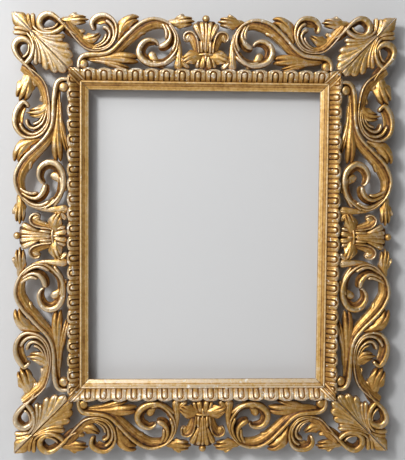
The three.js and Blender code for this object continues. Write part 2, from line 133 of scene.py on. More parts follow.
@dataclass(frozen=True)
class Rail:
    """One side of the frame with the way from its own coordinates to the world's."""

    side: Side
    sizes: FrameSizes

    @property
    def half_sight(self) -> float:
        """Half the length of the sight edge along this rail."""
        return self.sizes.sight_half_height if self.side.upright else self.sizes.sight_half_width

    @property
    def reach(self) -> float:
        """Distance from the middle of the sight to this rail's sight edge."""
        return self.sizes.sight_half_width if self.side.upright else self.sizes.sight_half_height

    def to_world(self, points: np.ndarray) -> np.ndarray:
        """Turns rail coordinates into the world's, by the side's quarter turns about the sight's middle.

        Args:
            points: rows of u, v and height in millimetres.

        Returns:
            Rows of x, y and z in metres.
        """
        turn = self.side.value * math.pi / 2
        along = points[:, 0]
        out = points[:, 1] + self.reach
        x = along * math.cos(turn) - out * math.sin(turn)
        z = along * math.sin(turn) + out * math.cos(turn) + self.sizes.centre_height
        return np.stack([x, -points[:, 2], z], axis=1) * MM

    def trim(self, points: np.ndarray, gap: float) -> np.ndarray:
        """Presses what reaches past the two mitres or the rail's outer edge back onto them.

        Args:
            points: rows of u, v and height in millimetres.
            gap: the open joint between two rails.

        Returns:
            The trimmed rows.
        """
        out = np.minimum(points[:, 1], self.sizes.foliage_outer)
        limit = self.half_sight + out - gap / math.sqrt(2)
        return np.stack([np.clip(points[:, 0], -limit, limit), out, points[:, 2]], axis=1)


@dataclass
class Patch:
    """A closed piece of surface; relief is 0 in hollows and 1 on crests, one value for each point."""

    points: np.ndarray
    quads: np.ndarray
    triangles: np.ndarray
    relief: np.ndarray

    def mirrored(self) -> "Patch":
        """The same piece on the other half of the rail."""
        points = self.points * np.array([-1.0, 1.0, 1.0])
        return Patch(points, self.quads, self.triangles, self.relief).outward()

    def outward(self) -> "Patch":
        """Turns the faces outwards, told from the sign of the volume they enclose.

        Returns:
            This piece, with its faces turned round where the volume was negative.
        """
        corners = np.concatenate([self.quads[:, [0, 1, 2]], self.quads[:, [0, 2, 3]], self.triangles])
        first, second, third = (self.points[corners[:, i]] for i in range(3))
        volume = np.einsum("ij,ij->", first, np.cross(second, third))
        if volume < 0:
            self.quads = self.quads[:, ::-1]
            self.triangles = self.triangles[:, ::-1]
        return self


def joined(patches: list[Patch]) -> Patch:
    """Puts several pieces into one.

    Args:
        patches: the pieces.

    Returns:
        One piece that holds all their points and faces.
    """
    starts = np.cumsum([0] + [len(patch.points) for patch in patches[:-1]])
    return Patch(
        np.concatenate([patch.points for patch in patches]),
        np.concatenate([patch.quads + start for patch, start in zip(patches, starts)]),
        np.concatenate([patch.triangles + start for patch, start in zip(patches, starts)]),
        np.concatenate([patch.relief for patch in patches]),
    )


def closed_loft(rings: np.ndarray, relief: np.ndarray) -> Patch:
    """Skins a row of closed rings, and closes each end with a fan about the end ring's middle.

    Args:
        rings: points as stations by ring points by coordinates.
        relief: relief values as stations by ring points.

    Returns:
        The closed piece, with its faces outwards.
    """
    stations, sides = rings.shape[:2]
    index = np.arange(stations * sides).reshape(stations, sides)
    following = np.roll(index, -1, axis=1)
    quads = np.stack([index[:-1], following[:-1], following[1:], index[1:]], axis=-1).reshape(-1, 4)
    first_middle = np.full(sides, stations * sides)
    last_middle = first_middle + 1
    triangles = np.concatenate([
        np.stack([following[0], index[0], first_middle], axis=-1),
        np.stack([index[-1], following[-1], last_middle], axis=-1),
    ])
    points = np.concatenate([rings.reshape(-1, 3), rings[[0, -1]].mean(axis=1)])
    values = np.concatenate([relief.reshape(-1), relief[[0, -1]].mean(axis=1)])
    return Patch(points, quads, triangles, values).outward()


def wrapped_grid(rings: np.ndarray) -> Patch:
    """Skins a row of closed rings whose last ring joins its first, as on a ring of wire.

    Args:
        rings: points as stations by ring points by coordinates.

    Returns:
        The closed piece, with its faces outwards.
    """
    stations, sides = rings.shape[:2]
    index = np.arange(stations * sides).reshape(stations, sides)
    ahead = np.roll(index, -1, axis=0)
    quads = np.stack([index, np.roll(index, -1, 1), np.roll(ahead, -1, 1), ahead], axis=-1)
    empty = np.zeros((0, 3), int)
    return Patch(rings.reshape(-1, 3), quads.reshape(-1, 4), empty, np.ones(stations * sides)).outward()


def smooth_rows(knots: np.ndarray, places: np.ndarray) -> np.ndarray:
    """Runs a smooth curve along rows of numbers, measured by its length in the first two columns.

    Every four neighbouring rows are blended by the cubic weights of a uniform spline.

    Args:
        knots: the rows that the curve follows.
        places: shares of the curve's length, from 0 to 1.

    Returns:
        The curve's row at each place.
    """
    fine = 16
    padded = np.vstack([2 * knots[0] - knots[1], knots, 2 * knots[-1] - knots[-2]])
    spans = len(knots) - 1
    place = np.linspace(0, spans, fine * spans + 1)
    span = np.minimum(place.astype(int), spans - 1)
    t = (place - span)[:, None]
    before, start, end, after = (padded[span + i] for i in range(4))
    rows = (
        (1 - t) ** 3 * before
        + (3 * t**3 - 6 * t**2 + 4) * start
        + (3 * t + 3 * t**2 - 3 * t**3 + 1) * end
        + t**3 * after
    ) / 6
    length = path_length(rows)
    return np.stack([np.interp(places * length[-1], length, column) for column in rows.T], axis=1)


def path_length(rows: np.ndarray) -> np.ndarray:
    """The length run so far along a path, in its first two columns."""
    return np.concatenate([[0.0], np.cumsum(np.hypot(*np.diff(rows[:, :2], axis=0).T))])


def side_vectors(path: np.ndarray) -> np.ndarray:
    """Unit vectors that point to the left of a flat path.

    Args:
        path: rows of two coordinates.

    Returns:
        One unit vector for each row.
    """
    tangent = np.gradient(path, axis=0)
    tangent /= np.linalg.norm(tangent, axis=1, keepdims=True)
    return np.stack([-tangent[:, 1], tangent[:, 0]], axis=1)


def smoothstep(low: float, high: float, value: np.ndarray) -> np.ndarray:
    """A smooth ramp from 0 at low to 1 at high."""
    t = np.clip((value - low) / (high - low), 0.0, 1.0)
    return t * t * (3.0 - 2.0 * t)


def through(values: Span, s: np.ndarray) -> np.ndarray:
    """The curve of the second degree that takes three values at the start, the middle and the end.

    Args:
        values: the three values.
        s: places from 0 to 1.

    Returns:
        The curve at each place.
    """
    start, middle, end = values
    pull = 2.0 * middle - 0.5 * (start + end)
    return (1.0 - s) ** 2 * start + 2.0 * s * (1.0 - s) * pull + s**2 * end


def circle(sides: int) -> np.ndarray:
    """Evenly spaced angles once round a circle."""
    return np.linspace(0.0, 2.0 * np.pi, sides, endpoint=False)


@dataclass(frozen=True)
class FoliagePlan:
    """How the drawing of the short rail is laid along a rail of any length."""

    drawn_half_length: float = 229.0
    stretch_places: tuple[float, ...] = (45.0, 85.0, 118.0, 150.0, 190.0, 208.0)
    stretch_shares: tuple[float, ...] = (0.0, 0.2, 0.25, 0.3, 0.55, 1.0)
    bulge: float = 4.5
    bulge_place: float = 85.0
    bulge_width: float = 35.0
    hand_wander: float = 0.35
    mitre_gap: float = 1.3

    def lay(self, drawn: np.ndarray, rail: Rail, share: float | None = None) -> np.ndarray:
        """Moves drawn points along a longer rail, more the nearer they lie to the corner.

        On a long rail the great scroll also bulges outwards, by a bell curve along the rail.

        Args:
            drawn: rows of u and of the distance out from the border's outer edge.
            rail: the rail that carries them.
            share: a share of the extra length for all the points alike, if given.

        Returns:
            Rows of u and v.
        """
        extra = rail.half_sight + rail.sizes.border_outer - self.drawn_half_length
        shares = np.interp(drawn[:, 0], self.stretch_places, self.stretch_shares)
        shift = extra * (shares if share is None else share)
        bell = np.exp(-(((drawn[:, 0] - self.bulge_place) / self.bulge_width) ** 2))
        out = self.bulge * bell * smoothstep(45.0, 85.0, drawn[:, 1]) * rail.side.upright
        return np.stack([drawn[:, 0] + shift, drawn[:, 1] + out + rail.sizes.border_outer], axis=1)

    def place(self, knots: Knots, rail: Rail, rng: np.random.Generator, share: float | None) -> np.ndarray:
        """Lays a leaf's or strand's knots along a rail, with the small wander of a carver's hand.

        Args:
            knots: u, distance out from the border and width.
            rail: the rail that carries them.
            rng: the source of the wander.
            share: the share of the extra length that the far end takes, if it has its own.

        Returns:
            Rows of u, v and width.
        """
        drawn = np.array(knots, float)
        drawn[:, :2] += rng.normal(0.0, self.hand_wander, (len(drawn), 2))
        laid = self.lay(drawn[:, :2], rail)
        if share is not None:
            own = self.lay(drawn[:, :2], rail, share)
            laid += (own - laid) * np.linspace(0.0, 1.0, len(drawn))[:, None]
        drawn[:, :2] = laid
        return drawn


@dataclass(frozen=True)
class Strand:
    """One carved strand of foliage: a rim along its outer edge and a field from there to its inner edge.

    knots hold u, the distance out from the border and the width; inner is 1 where the width lies to the
    left of the way along and -1 to the right; align is the share of the width on the outer side of the
    knots; rim is the share of the width that the rim takes at the start, in the middle and at the end;
    crest is the rim's height in millimetres; foot, lip and swell are shares of it: the height between
    rim and field, the height at the inner edge, and how far the field swells up or is hollowed out
    between the two; tone is the field's relief and polish what the rim loses towards its edges; lines
    counts the spaces between fine cut lines; ends are the lengths over which the two ends close, as
    shares of the width there; rise is the share of the crest at the start, in the middle and at the end;
    share is the leaf's own share of a longer rail's extra length.
    """

    knots: Knots
    inner: int = 1
    align: float = 0.0
    rim: Span = (0.4, 0.3, 0.4)
    crest: float = 17.0
    foot: float = 0.78
    lip: float = 0.45
    swell: Span = (-0.06, -0.06, -0.06)
    tone: float = 0.52
    polish: float = 0.5
    lines: int = 2
    line_depth: float = 0.5
    ends: Place = (0.0, 0.5)
    rise: Span = (1.0, 1.0, 0.85)
    share: float | None = None

    def section(self, across: np.ndarray, s: np.ndarray) -> tuple[np.ndarray, np.ndarray]:
        """Height and relief across the strand: a half-round rim, then a field bowed by half a sine.

        Args:
            across: places from 0 at the outer edge to 1 at the inner edge.
            s: the stations' places along the strand, as a column.

        Returns:
            Heights as shares of the crest, and relief values, as stations by places.
        """
        rim = through(self.rim, s)
        on_rim = np.clip(across / rim, 0.0, 1.0)
        in_field = np.clip((across - rim) / np.maximum(1.0 - rim, 0.01), 0.0, 1.0)
        arch = np.sqrt(np.clip(1.0 - np.abs(2.0 * on_rim - 1.0) ** 2.2, 0.0, 1.0))
        bow = np.sin(np.pi * in_field)
        edge = smoothstep(0.86, 1.0, in_field)
        ground = self.foot + (self.lip - self.foot) * in_field + through(self.swell, s) * bow - 0.1 * edge
        inside = across > rim
        height = np.where(inside, ground, self.foot + (1.0 - self.foot) * arch)
        # the field darkens towards the rim: painted shade under the rim's edge
        ground_relief = self.tone * (0.2 + 0.8 * smoothstep(0.0, 0.45, in_field)) + 0.15 * edge
        relief = np.where(inside, ground_relief, 0.92 - self.polish * (1.0 - arch) ** 0.6)
        place = np.where(rim < 0.99, in_field, on_rim)
        cut = (0.5 + 0.5 * np.cos(2.0 * np.pi * self.lines * place)) ** 5 * np.sqrt(np.sin(np.pi * place))
        return height - self.line_depth / self.crest * cut, relief - 0.22 * cut

    def carve(self, rail: Rail, plan: FoliagePlan, rng: np.random.Generator) -> Patch:
        """Carries the section along the strand, down to the board's back on both sides.

        Width and height close in a quarter ellipse at the ends, where the stations stand closer.

        Args:
            rail: the rail that carries the strand.
            plan: how the drawing is laid along the rail.
            rng: the source of the hand's small wander.

        Returns:
            The closed strand.
        """
        drawn = plan.place(self.knots, rail, rng, self.share)
        whole_leaf = self.rim[1] == 1.0
        t = np.linspace(0.0, 1.0, max(5 * len(drawn), LEAST_STATIONS))
        s = t - 0.75 * np.sin(2.0 * np.pi * t) / (2.0 * np.pi)
        rows = smooth_rows(drawn, s)
        run = path_length(rows)
        start = np.clip(1.0 - run / max(self.ends[0] * rows[0, 2], 1e-6), 0.0, 1.0)
        end = np.clip(1.0 - (run[-1] - run) / max(self.ends[1] * rows[-1, 2], 1e-6), 0.0, 1.0)
        close = np.maximum(np.sqrt(1.0 - start**2) * np.sqrt(1.0 - end**2), 0.06)
        inward = side_vectors(rows[:, :2]) * self.inner
        across = np.linspace(0.0, 1.0, LOBE_PLACES if whole_leaf else STRAND_PLACES)
        height, relief = self.section(across, s[:, None])
        crest = self.crest * through(self.rise, s) * (0.7 + 0.3 * close)
        width = rows[:, 2] * close
        shift = self.align * rows[:, 2] - 0.5 * (rows[:, 2] - width)
        sideways = width[:, None] * across - shift[:, None]
        tops = np.empty((len(s), len(across), 3))
        tops[..., :2] = rows[:, None, :2] + inward[:, None] * sideways[..., None]
        tops[..., 2] = rail.sizes.board_back + crest[:, None] * height
        return walled(tops, np.clip(relief, 0.0, 1.0), rail.sizes.board_back)


def lobe(knots: Knots, crest: float = 13.0, share: float | None = None, lines: int = 2) -> Strand:
    """One lobe of a leaf: a round-backed strand about its midrib, with a blunt toe.

    Args:
        knots: u, distance out from the border and width along the midrib.
        crest: the height of the back.
        share: the leaf's own share of a longer rail's extra length.
        lines: how many spaces the cut lines part the back into.

    Returns:
        The strand.
    """
    return Strand(
        knots, align=0.5, rim=(1.0, 1.0, 1.0), crest=crest, foot=0.72, polish=0.5, lines=lines,
        ends=(0.4, 0.6), rise=(0.82, 1.0, 0.86), share=share,
    )


def feather(knots: Knots, inner: int, crest: float = 15.0) -> Strand:
    """A fluted strand inside a scroll: a broad ridge on one edge, a hollow on the other, and a blunt toe.

    Args:
        knots: u, distance out from the border and width along the middle.
        inner: the side that the hollow lies on.
        crest: the height of the ridge.

    Returns:
        The strand.
    """
    return Strand(
        knots, inner=inner, align=0.5, rim=(0.6, 0.58, 0.8), crest=crest, lip=0.4, tone=0.34, lines=1,
        ends=(0.4, 0.55), rise=(0.85, 1.0, 0.95),
    )


@dataclass(frozen=True)
class Leaf:
    """A carved leaf: lobes side by side, parted by grooves that run from the root to notched toes.

    Its sides are lightly scalloped, by a sine along the leaf that fades towards the midrib. knots hold u,
    the distance out from the border and the width along the midrib; lobes counts the lobes; crest is the
    height of the back; point and notch are the shares of the length that the toes lose towards the leaf's
    sides and between two lobes; groove is the grooves' depth as a share of the crest; share is the leaf's
    own share of a longer rail's extra length; lobe_places and stations count the points.
    """

    knots: Knots
    lobes: int = 3
    crest: float = 14.0
    point: float = 0.22
    notch: float = 0.17
    groove: float = 0.16
    share: float | None = None
    lobe_places: int = 10
    stations: int = 26

    def carve(self, rail: Rail, plan: FoliagePlan, rng: np.random.Generator) -> Patch:
        """Runs lines from the root to the toes, each with its own length, over a back of half-round lobes.

        The height across is a power of a sine, one half wave to each lobe; along the lines it rises from
        the root, and rolls over in a quarter ellipse at the toes, where the leaf is browner.

        Args:
            rail: the rail that carries the leaf.
            plan: how the drawing is laid along the rail.
            rng: the source of the hand's small wander.

        Returns:
            The closed leaf.
        """
        drawn = plan.place(self.knots, rail, rng, self.share)
        across = np.linspace(-1.0, 1.0, self.lobe_places * self.lobes + 1)
        s = np.sin(0.5 * np.pi * np.linspace(0.0, 1.0, self.stations))[:, None]
        wave = 0.5 * np.pi * self.lobes * (across + 1.0)
        ridge = np.abs(np.sin(wave)) ** 0.7
        vein = np.abs(np.sin(wave)) ** 24
        reach = 1.0 - self.point * across**2 - self.notch * (1.0 - ridge)
        places = (s * reach).ravel()
        steps = np.linspace(0.0, 1.0, 80)
        sides = side_vectors(smooth_rows(drawn, steps)[:, :2])
        rows = smooth_rows(drawn, places).reshape(len(s), len(across), 3)
        sideways = np.stack([np.interp(places, steps, side) for side in sides.T], axis=1)
        sideways = sideways.reshape(*rows.shape[:2], 2)
        toe = np.sqrt(1.0 - np.clip((s - 0.7) / 0.3, 0.0, 1.0) ** 2)
        depth = self.groove * smoothstep(0.25, 0.9, s) * (1.0 - ridge) + 0.012 * vein * toe
        back = (1.0 - 0.3 * across**2) * (1.0 - depth) * (0.4 + 0.6 * toe)
        scallop = across * (1.0 + 0.16 * across**4 * np.sin(4.0 * np.pi * s - 0.8))
        tops = np.empty(rows.shape)
        tops[..., :2] = rows[..., :2] + sideways * (0.5 * rows[..., 2] * scallop)[..., None]
        tops[..., 2] = rail.sizes.board_back + self.crest * through((0.76, 1.02, 1.06), s) * back
        relief = 0.72 - 0.26 * (1.0 - ridge) * smoothstep(0.15, 0.6, s)
        relief = relief + 0.12 * vein * smoothstep(0.3, 0.6, s) - 0.3 * smoothstep(0.7, 0.95, s)
        tops = np.concatenate([tops, tops[-1:]])
        tops[-1, :, 2] = rail.sizes.board_back + TOE_FOOT
        return walled(tops, np.concatenate([relief, 0.3 * relief[-1:]]), rail.sizes.board_back)


def walled(tops: np.ndarray, relief: np.ndarray, back: float) -> Patch:
    """Closes a strip of top surface with upright walls and an all but flat back.

    The back rises a hair from the first station to the last, so that a tight curl lies clear of itself.

    Args:
        tops: points as stations by places across by coordinates.
        relief: relief values as stations by places across.
        back: height of the back.

    Returns:
        The closed piece.
    """
    feet = tops[:, [0, -1]].copy()
    feet[..., 2] = back + BACK_RISE * np.linspace(0.0, 1.0, len(tops))[:, None]
    rings = np.concatenate([feet[:, :1], tops, feet[:, 1:]], axis=1)
    # the walls' feet take relief 0, so the colour darkens down each wall: painted shade where the wall meets
    # the board
    shaded_foot_relief = np.zeros((len(tops), 1))
    return closed_loft(rings, np.concatenate([shaded_foot_relief, relief, shaded_foot_relief], axis=1))


@dataclass(frozen=True)
class PatinaAndShade:
    """Grime and painted shade in the hollows, and rubbing on the crests, told from the carving's own heights.
    """

    cell: float = 0.8
    margin: float = 12.0
    near: float = 2.2
    far: float = 7.0
    near_depth: float = 2.6
    far_depth: float = 9.0
    grime_and_shade: float = 0.85
    rubbing: float = 0.24

    def grime_shade_and_rub(self, patch: Patch, ground: float) -> np.ndarray:
        """Darkens the relief where a point lies below the mean height round it, as grime and painted shade,
        and lightens it where it lies above, as rubbing.

        The faces are spread over a flat grid that keeps the highest value in each cell. A bell curve's
        weights, worked out as a product of waves, give the mean over a near and a far neighbourhood.

        Args:
            patch: the carving, in the rail's coordinates.
            ground: the height that counts where there is no carving.

        Returns:
            The new relief of every point.
        """
        share = np.array([0.1, 0.37, 0.63, 0.9])
        first, second = (grid.ravel() for grid in np.meshgrid(share, share))
        weights = np.stack([
            (1 - first) * (1 - second), first * (1 - second), first * second, (1 - first) * second,
        ])
        spread = np.einsum("ks,fkc->fsc", weights, patch.points[patch.quads]).reshape(-1, 3)
        low = patch.points[:, :2].min(axis=0) - self.margin
        high = patch.points[:, :2].max(axis=0) + self.margin
        heights = np.full(tuple(((high - low) / self.cell).astype(int) + 1), ground)
        along, across = ((spread[:, :2] - low) / self.cell).astype(int).T
        np.maximum.at(heights, (along, across), spread[:, 2])
        waves = np.fft.rfft2(heights)
        along_wave = np.fft.fftfreq(heights.shape[0], self.cell)[:, None]
        across_wave = np.fft.rfftfreq(heights.shape[1], self.cell)
        along, across = ((patch.points[:, :2] - low) / self.cell).astype(int).T
        relief = patch.relief
        for reach, depth in ((self.near, self.near_depth), (self.far, self.far_depth)):
            bell = np.exp(-2.0 * (np.pi * reach) ** 2 * (along_wave**2 + across_wave**2))
            mean = np.fft.irfft2(waves * bell, s=heights.shape)
            below = (mean[along, across] - patch.points[:, 2]) / depth
            # points below the mean round them are darkened: grime, together with painted shade in the hollows
            relief = relief * (1.0 - self.grime_and_shade * smoothstep(0.0, 1.0, below))
            relief = relief + 0.5 * self.rubbing * smoothstep(0.1, 1.1, -below) * (relief > 0.3)
        return relief


@dataclass(frozen=True)
class Boss:
    """A turned boss: rings of the given radius and height shares round one place."""

    place: Place
    radius: float
    crest: float
    profile: tuple[Place, ...]
    sides: int = 32

    def carve(self, rail: Rail, plan: FoliagePlan) -> Patch:
        """Turns the profile about the boss's own axis.

        Args:
            rail: the rail that carries the boss.
            plan: how the drawing is laid along the rail.

        Returns:
            The closed boss.
        """
        middle = plan.lay(np.array([self.place], float), rail)[0]
        angle = circle(self.sides)
        radius, height = np.array(self.profile).T
        rings = np.empty((len(radius), self.sides, 3))
        rings[..., 0] = middle[0] + self.radius * radius[:, None] * np.cos(angle)
        rings[..., 1] = middle[1] + self.radius * radius[:, None] * np.sin(angle)
        rings[..., 2] = rail.sizes.board_back + self.crest * height[:, None]
        relief = np.broadcast_to(0.1 + 0.6 * height[:, None] ** 2, rings.shape[:2])
        return closed_loft(rings, relief)


GREAT_SCROLL = Strand(
    knots=(
        (214, 0, 7), (215, 9, 9), (212.5, 18, 10.5), (206, 24.5, 12), (198, 27, 14), (188, 27.5, 15),
        (176, 27.5, 15), (166, 29, 15), (157, 33.5, 15.5), (149, 41.5, 16.5), (139, 53, 18),
        (129, 63.5, 19.5), (119, 73, 20.5), (109, 80, 21), (98, 84.5, 20.5), (87, 86.5, 19.5),
        (76, 85.5, 18), (66, 81.5, 15), (57, 75, 12.5), (50, 66.5, 10.5), (45.5, 57, 9.5),
        (44, 47, 9), (46, 37, 8.5), (51, 28, 8), (58, 20, 7),
    ),
    rim=(0.8, 0.32, 0.5),
    foot=0.8,
    lip=0.52,
    swell=(-0.35, 0.14, 0.0),
    tone=0.62,
    lines=3,
)
RING_SCROLL = Strand(
    knots=(
        (46, 36, 7), (50, 27, 8), (56, 17.5, 10), (64, 9, 12), (73, 4, 14), (84, 2.5, 15), (96, 4, 16),
        (106.5, 9, 17), (114, 17, 17), (117.5, 27, 17), (116, 37, 16.5), (110.5, 46, 15.5),
        (102, 51.5, 14.5), (92.5, 53, 13), (84, 50.5, 11), (78.5, 45, 9), (77.5, 39, 7),
    ),
    rim=(0.5, 0.62, 0.5),
    lip=0.38,
    tone=0.4,
)
CORNER_LOOP = Strand(
    knots=(
        (214, 56, 8), (223, 61, 9.5), (231, 69.5, 11), (238, 78.5, 11.5), (246, 87, 12), (255, 92.5, 13),
        (264, 94, 14), (273.5, 91, 14.5), (280.5, 83, 14.5), (282.5, 73, 14), (279, 64.5, 12),
        (271.5, 58, 10), (262, 55, 9), (252, 56, 9), (243, 60, 8.5), (235.5, 66, 6),
    ),
    inner=-1,
    rim=(0.3, 0.74, 0.7),
    lip=0.35,
    tone=0.42,
)
REVERSED_SCROLL = Strand(
    knots=(
        (236, 74, 12), (229, 61.5, 16), (220, 50, 17), (210, 38.5, 16), (202, 31.5, 15), (192, 28.5, 13),
        (181, 27.5, 12), (171, 28.5, 12), (162, 32.5, 12), (154.5, 39.5, 12.5), (149, 49, 13),
        (146.5, 59.5, 13), (146.5, 69, 13.5), (149.5, 78, 14.5), (155, 86, 16), (163, 91.5, 17),
        (173, 92.5, 18), (183, 90, 18), (191, 84, 17), (194.5, 75.5, 14), (192.5, 67.5, 11), (188, 61.5, 8),
    ),
    inner=-1,
    rim=(0.16, 0.28, 0.6),
    foot=0.86,
    lip=0.6,
    swell=(0.1, 0.0, -0.3),
    tone=0.6,
)
PALMETTE_HOOK = Strand(
    knots=(
        (10, 28, 9), (12, 44, 12), (14.5, 56, 16), (20, 64, 17), (28.5, 66.5, 16), (36, 63, 13),
        (39.5, 56, 10), (38.5, 49, 8.5), (34, 45, 6),
    ),
    inner=-1,
    rim=(0.3, 0.2, 0.45),
    crest=15.5,
    foot=0.85,
    lip=0.6,
    swell=(0.0, 0.0, -0.2),
    tone=0.6,
)
SCROLLS = (GREAT_SCROLL, RING_SCROLL, CORNER_LOOP, REVERSED_SCROLL, PALMETTE_HOOK)
GREAT_CURL = (
    feather(((61, 75, 6), (52.5, 65, 8), (48.5, 54, 9), (49, 44, 9), (52, 36, 8.5), (56, 30, 6)), -1, 16.5),
    feather((
        (66, 75, 7), (59, 65, 9), (56.5, 55, 11), (59.5, 45.5, 13), (66, 39, 14), (73, 36.5, 13),
        (79, 37.5, 9),
    ), -1, 17.5),
    feather(((73, 79, 8), (66.5, 70.5, 10), (63.5, 62, 10), (64, 55, 9), (67, 50, 6)), -1, 15),
    lobe(((122, 56, 9), (109, 62.5, 11), (99, 63, 9)), 12.5),
)
RING_LEAF = (
    feather(((50, 25, 8), (58, 18, 11), (67, 13, 13), (76, 11, 13), (84, 12, 10), (89, 14, 6)), 1, 16.5),
    lobe(((68, 5, 7), (78, 7.5, 11), (86, 13.5, 14), (90, 22, 15), (91, 30, 12)), 11, lines=1),
)
REVERSED_CURL = (
    feather((
        (192, 33, 5), (178, 33.5, 6), (167, 36.5, 7), (159.5, 43, 7.5), (155, 51, 8), (154, 60, 8),
        (156.5, 69, 8), (162, 76, 8), (168, 78.5, 6),
    ), -1, 17),
    feather((
        (190, 35, 5), (179, 37.5, 6), (169.5, 41.5, 7), (163.5, 48.5, 7.5), (161, 56, 8), (162, 63, 8),
        (167, 67.5, 8), (172, 68, 6),
    ), -1, 16),
    feather(((186, 38, 4), (178, 41.5, 6), (171.5, 46, 6.5), (167.5, 52, 6.5), (166.5, 58, 6)), -1, 14),
)
LOOP_FLUTES = (
    feather((
        (286, 70, 6), (278, 62, 9), (266, 58, 11), (254, 59.5, 12), (243, 65, 12), (234, 73, 8),
    ), -1, 17),
    feather(((275, 68, 4), (266, 64.5, 5), (256, 65.5, 6), (249, 70, 6), (246, 75, 5)), -1, 15),
)
UNDER_LEAF = (
    Leaf((
        (194, 16.5, 4), (172, 18, 10), (151, 19, 17), (134, 19, 23), (120, 17.5, 25), (109, 15.5, 20),
    ), 2, 14, notch=0.11, groove=0.11),
    Leaf(((192, 13.5, 4), (174, 12.5, 7), (158, 9.5, 11), (142, 5, 14), (126, 0.5, 13)), 2, 13, notch=0.1),
)
EDGE_LEAF = (
    Leaf((
        (147, 46, 5), (144, 58, 12), (139, 70, 19), (131, 79, 23), (120.5, 83.5, 23), (110, 83.5, 18),
    ), 2, 15, notch=0.14, groove=0.12),
)
INNER_LEAF = (
    Leaf(((215, 51, 7), (205, 48.5, 14), (195, 48.5, 19), (185, 52, 17), (175, 59, 7)), 2, 14, 0.1),
    lobe(((224, 63, 6), (214, 60.5, 8), (206, 60.5, 8), (201, 63, 6)), 11.5),
)
UPRIGHT_INNER_LEAF = (
    Leaf(((194, 30, 10), (183, 39, 20), (178, 51, 24), (176, 61, 20), (175.5, 70, 9)), 3, 15, 0.3, share=0.6),
    lobe(((206, 38, 6), (198, 41, 8), (193, 45, 7)), 11.5),
)
UPRIGHT_BUD_LEAF = (
    Leaf(((222, 63, 8), (210, 66.5, 22), (198, 72, 31), (186, 78, 30), (174, 81.5, 20)), 3, 15, share=1.0),
    lobe(((218, 60, 7), (207, 55.5, 10), (198, 53.5, 8)), 12, 1.0),
)
BUD_LEAF = (
    Leaf((
        (243, 79, 5), (230, 79.5, 14), (217, 80, 20), (206, 80.5, 20), (195, 81.5, 14),
    ), 3, 14.5, share=0.65),
    lobe(((226, 84, 6), (220, 87.5, 8), (215.5, 92, 6)), 12.5, 0.65),
)
CORNER_LEAF = (
    lobe(((289, 62, 4), (274, 55, 5), (262, 52.5, 6), (248, 52, 9), (234, 53.5, 8)), 14.5, lines=1),
    lobe(((289, 61, 4), (274, 52, 5), (260, 48, 6), (248, 46, 8), (236, 46.5, 7)), 13.5, lines=1),
    lobe((
        (289, 61, 5), (272, 48, 8), (258, 41, 11), (244, 37.5, 14), (232, 36, 14), (225.5, 36, 10),
    ), 13, lines=1),
    lobe(((289, 60, 5), (274, 46, 8), (258, 34, 14), (244, 27, 18), (231, 23, 18), (221, 21, 13)), 13.5),
    lobe(((290, 60, 6), (275, 46, 10), (260, 32, 15), (246, 20, 19), (232, 10, 20), (221.5, 5, 15)), 14),
)
CORNER_TIP = (
    lobe(((283, 62, 5), (286, 72, 7), (287, 82, 8), (287, 91, 7)), 13),
    lobe(((288, 62, 5), (292.5, 72, 6), (294.5, 82, 7), (295, 90, 6)), 12),
)
PALMETTE_EDGE_LEAF = (
    Leaf(((66, 77, 6), (53, 77.5, 15), (41, 79, 21), (29, 80.5, 22), (19, 80.5, 17)), 3, 14.5),
    lobe(((49, 84, 5), (42.5, 88.5, 7), (37, 92, 6)), 12.5),
)
PALMETTE_SIDE = (
    lobe(((22, 63, 10), (28, 59, 14), (31.5, 53, 14), (32.5, 46, 9)), 11.5, lines=3),
    Leaf((
        (3, 22, 12), (13, 23, 19), (24, 21, 23), (35, 16, 20), (43, 10, 10),
    ), 3, 15.5, notch=0.12, groove=0.13),
    lobe(((11, 16, 6), (14, 11.5, 7), (15.5, 9, 6)), 12, lines=1),
    lobe(((48, 60, 4), (44.5, 46, 7), (44, 33, 9), (44.5, 20, 12), (45, 9, 15), (45.5, -1, 17)), 13, lines=4),
    lobe(((41, 24, 6), (38, 13, 9), (33, 6.5, 10), (27, 3, 7)), 13),
)
PALMETTE_FLUTES = (
    lobe(((2.5, 30, 4), (3.5, 46, 5), (5, 60, 8), (6.5, 71, 10), (7.5, 79.5, 9)), 17),
    lobe(((6, 46, 4), (10.5, 58, 8), (15, 68, 11), (19.5, 77, 10)), 15.5),
    lobe(((7, 27, 6), (7.5, 38, 6.5), (7.5, 49, 5)), 16.5, lines=1),
    lobe(((11.5, 27, 5), (12.5, 38, 6), (13.5, 48, 5)), 15, lines=1),
    lobe(((2.5, 26, 6), (4.5, 15, 9), (7, 1, 11)), 15),
    lobe(((8, 26, 4), (13, 14, 6), (15, 3, 8)), 12.5, lines=1),
)
PALMETTE_MIDDLE = (
    lobe(((0, 27, 5), (0, 45, 6), (0, 60, 5.5), (0, 79, 6)), 17, lines=1),
    lobe(((-13, 24.5, 5), (0, 26.5, 6), (13, 24.5, 5)), 16.5, lines=1),
    lobe(((0, 27, 5), (0, 20, 6), (0, 13, 5)), 16, lines=1),
)
LEAVES = (
    GREAT_CURL + RING_LEAF + REVERSED_CURL + LOOP_FLUTES + UNDER_LEAF + EDGE_LEAF + CORNER_LEAF + CORNER_TIP
    + PALMETTE_EDGE_LEAF + PALMETTE_SIDE + PALMETTE_FLUTES
)
SHORT_LEAVES = INNER_LEAF + BUD_LEAF
UPRIGHT_LEAVES = UPRIGHT_INNER_LEAF + UPRIGHT_BUD_LEAF
SQUARE_TIP = Strand(
    ((288, 59, 6), (296, 67, 12), (303, 74, 21), (309, 80, 30), (314, 85, 20), (320.5, 91.5, 2)),
    align=0.5,
    rim=(1.0, 1.0, 1.0),
    crest=12.5,
    foot=0.6,
    ends=(0.4, 0.0),
)
